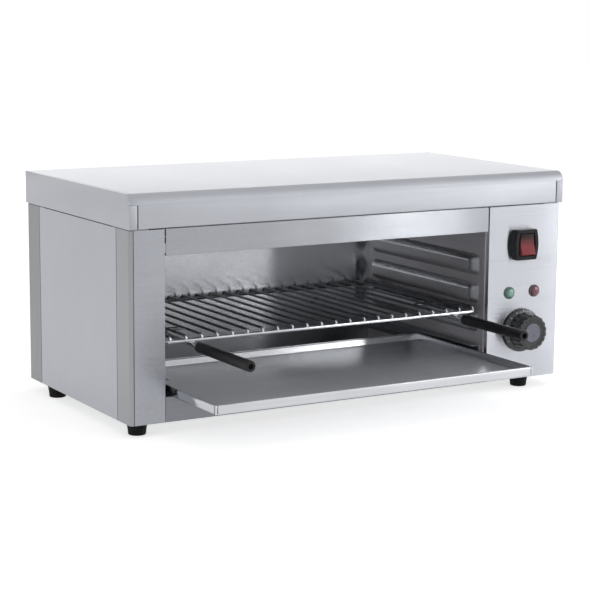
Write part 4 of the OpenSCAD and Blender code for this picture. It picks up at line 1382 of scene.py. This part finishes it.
@dataclass
class Lamp:
    """Domed signal lamp.

    Attributes:
        colour: Name of the lamp's colour in the node names.
        rim: Colour at the lens's rim.
        painted_glow_colour: Colour of the painted glow in the lens's middle.
        bezel: Inset and height of each point of the bezel, up to the dome's foot.
        rings: Cuts that round the dome.
        glow: Offset of the painted glow's brightest spot from the dome's top, to the right, back and up, a painted
            highlight.
    """

    colour: str
    rim: str
    painted_glow_colour: str
    bezel: tuple[Span, ...] = ((0.0, 0.0), (0.0, 1.1), (0.5, 1.5), (1.3, 1.5), (1.7, 2.1), (2.8, 3.0))
    rings: int = 4
    glow: Triple = (0.6, 1.0, -0.5)

    def build(self) -> None:
        """Turns the bezel and the lens as one moulding."""
        node = f"{self.colour}_lamp_lens"
        low, high = node_box(node)
        r, height = (high.x - low.x) / 2, high.y - low.y
        form = Form()
        bezel = [(r - inset, z) for inset, z in self.bezel]
        dome, foot = bezel[-1]
        form.lathe([(0, 0), *bezel, (0, height)], 40)
        spokes = form.edges_where(lambda a, b: min(a.z, b.z) > foot - NEAR and abs(a.z - b.z) > NEAR)
        bmesh.ops.subdivide_edges(form.bm, edges=spokes, cuts=self.rings)
        form.close()
        for vert in form.bm.verts:
            if vert.co.z > foot:
                share = min(1.0, vert.co.xy.length / dome)
                vert.co.z = foot + (height - foot) * (1 - share * share)
        x, z = (low.x + high.x) / 2, (low.z + high.z) / 2
        form.move(facing_front(x, high.y, z))
        # The lens's lighter middle, set off to the right and up, is a painted glow and highlight.
        right, back, up = self.glow
        finish = LampLens(
            f"{self.colour}_polycarbonate",
            self.rim,
            roughness=0.14,
            spread=0.03,
            patch=(1.5, 1.5, 1.5),
            cloud=6,
            coat=0.6,
            centre=(x + right, low.y + back, z + up),
            radius=r,
            painted_glow_colour=self.painted_glow_colour,
        )
        form.finish(f"{self.colour}_lamp_dome", finish, f"{self.colour}_lens", Body.BODY, [node])


@dataclass
class Knob:
    """Fluted control knob with a skirt, a printed scale and an insert in its face.

    Attributes:
        skirt: Thickness of the skirt.
        rim: Inset and height of each point of the skirt's edge, up to the foot of its slope.
        grip_radius: Radius of the grip's foot.
        flutes: Number of flutes.
        flute_depth: Depth of the flutes.
        flute_steps: Segments of the grip's outline for each flute.
        flute_power: Power that rounds the flutes' floors where it is below 1.
        taper: Width of the grip's top as a share of its foot.
        crown: Depth behind the face and width, as a share of that top, of each step of the grip.
        overlap: How far the grip's foot lies inside the skirt.
        insert_radius: Radius of the face's insert.
        insert_depth: Thickness of that insert.
        insert_edge: Width and height of its bevelled edge.
        marks: Number of marks of the scale.
        sweep: Angle from the first mark to the last, in degrees.
        mark_halves: Half lengths of the short and the long marks.
        stroke: Half width and half thickness of the marks.
    """

    skirt: float = 5.0
    rim: tuple[Span, ...] = ((0.3, 0.0), (0.0, 0.8), (0.0, 1.8), (0.4, 2.6))
    grip_radius: float = 23.0
    flutes: int = 18
    flute_depth: float = 1.5
    flute_steps: int = 8
    flute_power: float = 0.7
    taper: float = 0.96
    crown: tuple[Span, ...] = ((1.6, 1.0), (0.6, 0.985), (0.0, 0.945), (0.0, 0.80), (1.0, 0.74), (1.5, 0.36))
    overlap: float = 0.5
    insert_radius: float = 12.0
    insert_depth: float = 3.0
    insert_edge: Span = (0.6, 0.5)
    marks: int = 11
    sweep: float = 240.0
    mark_halves: Span = (1.1, 1.7)
    stroke: Span = (0.45, 0.2)

    def build(self) -> None:
        """Builds the knob, its scale and its insert."""
        low, high = node_box("control_knob")
        radius, height = (high.x - low.x) / 2, high.y - low.y
        place = facing_front((low.x + high.x) / 2, high.y, (low.z + high.z) / 2)
        form = Form()
        rim = [(radius - inset, z) for inset, z in self.rim]
        form.lathe([(0, 0), *rim, (self.grip_radius, self.skirt), (0, self.skirt)], 72)
        form.close()
        self.grip(form, height)
        form.move(place)
        form.finish("knob_moulding", KNOB_BLACK, "knob_plastic", Body.KNOB, ["control_knob"])
        self.scale(rim[-1], place)
        cap, r, back = Form(), self.insert_radius, height - self.insert_depth
        width, drop = self.insert_edge
        cap.lathe([(0, back), (r, back), (r, height - drop), (r - width, height), (0, height)], 48)
        cap.close()
        cap.move(place)
        cap.finish("knob_insert", KNOB_INSERT, "knob_plastic", Body.KNOB)

    def grip(self, form: Form, height: float) -> None:
        """Raises the fluted grip from the skirt.

        Args:
            form: The knob.
            height: Height of the knob's face above its back.
        """
        steps = self.flutes * self.flute_steps
        made = bmesh.ops.create_circle(form.bm, cap_ends=True, segments=steps, radius=self.grip_radius)
        ring, level = made["verts"], self.skirt - self.overlap
        for vert in ring:
            turn = math.atan2(vert.co.x, vert.co.y)
            groove = max(0.0, -math.cos(self.flutes * turn)) ** self.flute_power
            scale = 1 - self.flute_depth / self.grip_radius * groove
            vert.co = Vector((vert.co.x * scale, vert.co.y * scale, level))
        face = next(f for f in ring[0].link_faces if len(f.verts) == steps)
        size = 1.0
        for drop, share in self.crown:
            z, scale = height - drop, self.taper * share
            made = form.extrude([face])
            if face.is_valid:
                bmesh.ops.delete(form.bm, geom=[face], context="FACES_ONLY")
            face = next(g for g in made if isinstance(g, BMFace))
            verts = verts_in(made)
            bmesh.ops.scale(form.bm, vec=(scale / size, scale / size, 1), verts=verts)
            bmesh.ops.translate(form.bm, vec=(0, 0, z - level), verts=verts)
            size, level = scale, z

    def scale(self, slope: Span, place: Matrix) -> None:
        """Lays the marks of the scale on the skirt's slope.

        Args:
            slope: Radius and height of the slope's foot.
            place: Matrix that stands the knob in its place.
        """
        form = Form()
        (outer, foot), (short, long), (wide, thick) = slope, self.mark_halves, self.stroke
        drop = self.skirt - foot
        on_slope = Matrix.Translation(((outer + self.grip_radius) / 2, 0, foot + drop / 2))
        on_slope @= Matrix.Rotation(math.atan2(drop, outer - self.grip_radius), 4, "Y")
        for i in range(self.marks):
            turn = math.radians(90 + self.sweep / 2 - self.sweep * i / (self.marks - 1))
            half = short if i % 5 else long
            mark = form.block((-half, -wide, -thick), (half, wide, thick))
            form.move(Matrix.Rotation(turn, 4, "Z") @ on_slope, mark)
        form.move(place)
        form.finish("dial_marks", DIAL_INK, "knob_plastic", Body.KNOB)


@dataclass
class Foot:
    """Moulded rubber foot.

    Attributes:
        node: CAD node of the foot.
        recess: Radius of the screw's recess.
        depth: Depth of the recess.
        draft: How far the foot's base is set in from its top.
    """

    node: str
    recess: float = 4.9
    depth: float = 4.5
    draft: float = 2.0

    def build(self) -> None:
        """Turns the foot."""
        low, high = node_box(self.node)
        top, height = (high.x - low.x) / 2, high.z - low.z
        base = top - self.draft
        form = Form()
        hole = [(0, self.depth), (self.recess, self.depth), (self.recess, 0.4), (self.recess + 0.4, 0)]
        foot = [(base - 1.2, 0), (base - 0.3, 0.4), (base, 1.3), (base + 0.5, height * 0.45), (top - 0.5, height - 2.0)]
        rim = [(top, height - 1.2), (top, height - 0.4), (top - 0.4, height), (0, height)]
        form.lathe(hole + foot + rim, 40)
        form.close()
        form.move(Matrix.Translation(((low.x + high.x) / 2, (low.y + high.y) / 2, low.z)))
        form.finish(self.node + "_rubber", RUBBER, "foot_rubber", Body.BODY, [self.node])


@dataclass
class Element:
    """Hairpin heating element.

    Attributes:
        node: CAD node of the element.
        diameter: Diameter of the sheath.
        pin: Diameter of the terminal pins.
        pin_length: Length of the terminal pins.
        pin_root: How far the pins start inside the sheath.
    """

    node: str
    diameter: float = 8.0
    pin: float = 4.0
    pin_length: float = 8.0
    pin_root: float = 1.0

    def build(self) -> None:
        """Bends the element."""
        low, high = node_box(self.node)
        r = self.diameter / 2
        front, rear = low.y + r, high.y - r
        bend, z = (rear - front) / 2, (low.z + high.z) / 2
        root, start = high.x - self.pin_length, low.x + r + bend
        form = Form()
        wire = Wire(form, (root, front, z), -X_AXIS, r, 20).run(root - start)
        wire.turn((start, front + bend, z), Z_AXIS, -180, 20).run(root - start).end()
        for y in (front, rear):
            pin = Wire(form, (root - self.pin_root, y, z), X_AXIS, self.pin / 2, 16)
            pin.run(self.pin_length + self.pin_root).end()
        form.turn_out()
        form.finish(self.node + "_sheath", ELEMENT_SHEATH, "element_sheath", Body.BODY, [self.node])


@dataclass
class CableGland:
    """Nylon gland with a hexagon and a domed nut.

    Attributes:
        hexagon: Length of the hexagon.
        bore: Diameter of the cord's hole.
        dome: Diameter of the domed nut.
        thread: Diameter of the thread through the cover.
        lap: How far the dome and the thread run into the hexagon.
    """

    hexagon: float = 5.0
    bore: float = 8.5
    dome: float = 18.0
    thread: float = 16.0
    lap: Span = (1.0, 0.5)

    def build(self) -> None:
        """Turns the dome and adds the hexagon and the thread."""
        low, high = node_box("cable_gland")
        cover = node_box("rear_cover")[1].y
        out, inside, across = high.y - cover, cover - low.y, (high.x - low.x) / 2
        r, bore, thread = self.dome / 2, self.bore / 2, self.thread / 2
        foot, root = self.hexagon - self.lap[0], self.lap[1]
        form = Form()
        dome = [(r, foot), (r, out - 5), (r - 0.8, out - 2.5), (r - 2.6, out - 0.6), (bore + 0.5, out)]
        form.lathe([(bore, foot), *dome, (bore, out - 0.8), (bore, foot)], 48)
        form.lathe([(bore, -inside), (thread, -inside), (thread, root), (bore, root), (bore, -inside)], 40)
        form.lathe([(bore, 0), (across, 0), (across, self.hexagon), (bore, self.hexagon), (bore, 0)], 6)
        form.close()
        form.soften_creases(0.4, 2, 50)
        place = Matrix.Translation(((low.x + high.x) / 2, cover, (low.z + high.z) / 2))
        form.move(place @ Matrix.Rotation(math.radians(-90), 4, "X"))
        form.finish("gland_moulding", NYLON_BLACK, "gland_plastic", Body.BODY, ["cable_gland"])


# ---- studio ----


@dataclass
class Studio:
    """Floor, world, lamps and camera.

    Attributes:
        fill: Strength of the world for matt surfaces.
        floor_half: Half the side of the floor, in metres.
        floor_lift: How much white the floor adds for the view.
        target: What the softboxes point at.
        view: Azimuth, elevation and roll of the camera, in degrees.
        stand: Where the camera stands.
    """

    fill: float = 0.55
    floor_half: float = 9.0
    floor_lift: float = 0.64
    target: Triple = (0.05, 0.0, 0.15)
    view: Triple = (-30.44, 9.642, 0.44)
    stand: Triple = (-1.1211, -1.85175, 0.4934)

    @staticmethod
    def white_for_view(tree: Tree) -> Socket:
        """1 for camera, glossy and transmission rays, and 0 for the others.

        Args:
            tree: Node tree of the floor or the world.

        Returns:
            A factor output.
        """
        path = add_node(tree, "ShaderNodeLightPath").outputs
        total = path["Is Camera Ray"]
        for ray in ("Is Glossy Ray", "Is Transmission Ray"):
            inputs = {0: total, 1: path[ray]}
            total = add_node(tree, "ShaderNodeMath", inputs, operation="ADD", use_clamp=True).outputs[0]
        return total

    def build_world(self) -> None:
        """Makes the white surroundings."""
        world = bpy.data.worlds.new("studio_world")
        bpy.context.scene.world = world
        tree = empty_tree(world)
        levels = {"Value": self.white_for_view(tree), "To Min": self.fill, "To Max": 1.0}
        strength = add_node(tree, "ShaderNodeMapRange", levels).outputs["Result"]
        sky = add_node(tree, "ShaderNodeBackground", {"Color": (1, 1, 1, 1), "Strength": strength})
        add_node(tree, "ShaderNodeOutputWorld", {"Surface": sky.outputs["Background"]})

    def build_floor(self) -> None:
        """Lays the pale floor, which turns white for the view and keeps the shadow."""
        form = Form()
        bmesh.ops.create_grid(form.bm, x_segments=1, y_segments=1, size=self.floor_half / MM)
        floor = form.link("floor")
        material = bpy.data.materials.new("pale_floor")
        tree = empty_tree(material)
        matt = add_node(tree, "ShaderNodeBsdfDiffuse", {"Color": linear("#D8D8D8")}).outputs["BSDF"]
        white = {0: self.white_for_view(tree), 1: self.floor_lift}
        lift = add_node(tree, "ShaderNodeMath", white, operation="MULTIPLY").outputs[0]
        glow = add_node(tree, "ShaderNodeEmission", {"Color": (1, 1, 1, 1), "Strength": lift}).outputs["Emission"]
        both = add_node(tree, "ShaderNodeAddShader", {0: matt, 1: glow}).outputs["Shader"]
        add_node(tree, "ShaderNodeOutputMaterial", {"Surface": both})
        floor.data.materials.append(material)

    @staticmethod
    def softbox(
        name: str, place: Point, aim: Point, size: Span, radiance: float, mirrored: bool = True
    ) -> None:
        """Adds a rectangular lamp that the camera doesn't see.

        Args:
            name: Name of the lamp.
            place: Where it stands, in metres.
            aim: What it points at.
            size: Its width and height.
            radiance: How bright its face is, where 1 is the white of the surroundings.
            mirrored: Whether bright metal mirrors it.
        """
        light = bpy.data.lights.new(name, "AREA")
        light.shape, light.size, light.size_y = "RECTANGLE", size[0], size[1]
        light.energy = radiance * math.pi * size[0] * size[1]
        lamp = bpy.data.objects.new(name, light)
        lamp.location = place
        lamp.rotation_euler = (Vector(aim) - Vector(place)).to_track_quat("-Z", "Y").to_euler()
        lamp.visible_camera, lamp.visible_glossy = False, mirrored
        bpy.context.scene.collection.objects.link(lamp)

    def build_lamps(self) -> None:
        """Sets out the softboxes."""
        self.softbox("front_right_softbox", (1.96, -1.31, 0.65), self.target, (1.2, 1.0), 3.3)
        self.softbox("strip_light", (2.44, -3.56, 1.15), (0.08, -0.09, 0.2), (0.34, 2.0), 5.0)
        self.softbox("rear_softbox", (1.2, 2.4, 0.5), self.target, (3.4, 0.9), 0.65)
        self.softbox("top_softbox", (0.3, -0.2, 2.2), self.target, (1.8, 1.4), 0.95, mirrored=False)

    def build_camera(self) -> None:
        """Stands the camera where the object is seen from the front left, a little above."""
        azimuth, elevation, roll = (math.radians(a) for a in self.view)
        away = math.cos(elevation)
        back = Vector((math.sin(azimuth) * away, -math.cos(azimuth) * away, math.sin(elevation)))
        level = Vector((math.cos(azimuth), math.sin(azimuth), 0))
        upright = back.cross(level)
        right = level * math.cos(roll) + upright * math.sin(roll)
        up = upright * math.cos(roll) - level * math.sin(roll)
        data = bpy.data.cameras.new("camera")
        data.lens, data.sensor_width = 108.64, 36.0
        data.clip_start, data.clip_end = 0.05, 60.0
        camera = bpy.data.objects.new("camera", data)
        bpy.context.scene.collection.objects.link(camera)
        turn = Matrix((right, up, back)).transposed().to_4x4()
        camera.matrix_world = Matrix.Translation(self.stand) @ turn
        bpy.context.scene.camera = camera

    def build(self) -> None:
        """Sets up the studio."""
        self.build_camera()
        self.build_world()
        self.build_floor()
        self.build_lamps()
        bpy.context.scene.view_settings.view_transform = "Standard"
        log.info("studio: camera, world, floor and lamps")


def main() -> None:
    """Builds the studio and the object's pieces in order."""
    logging.basicConfig(level=logging.INFO, format="%(name)s: %(message)s")
    sub_assemblies = [
        Studio(),
        Casing(),
        Hood(),
        *(CavityWall(side) for side in Side),
        *(Element(f"{place}_element") for place in ("front", "rear")),
        WireRack(),
        *(HandleSleeve(side) for side in Side),
        CrumbTray(),
        SwitchUnit(),
        # The third colour of each lamp is its painted glow.
        Lamp("green", "#27574D", "#8CC0AF"),
        Lamp("red", "#3C0420", "#8A2248"),
        Knob(),
        *(Foot(f"{place}_foot") for place in ("front_left", "rear_left", "front_right", "rear_right")),
        CableGland(),
    ]
    for item in sub_assemblies:
        item.build()
        log.info("%s is built", type(item).__name__)


if __name__ == "__main__":
    main()
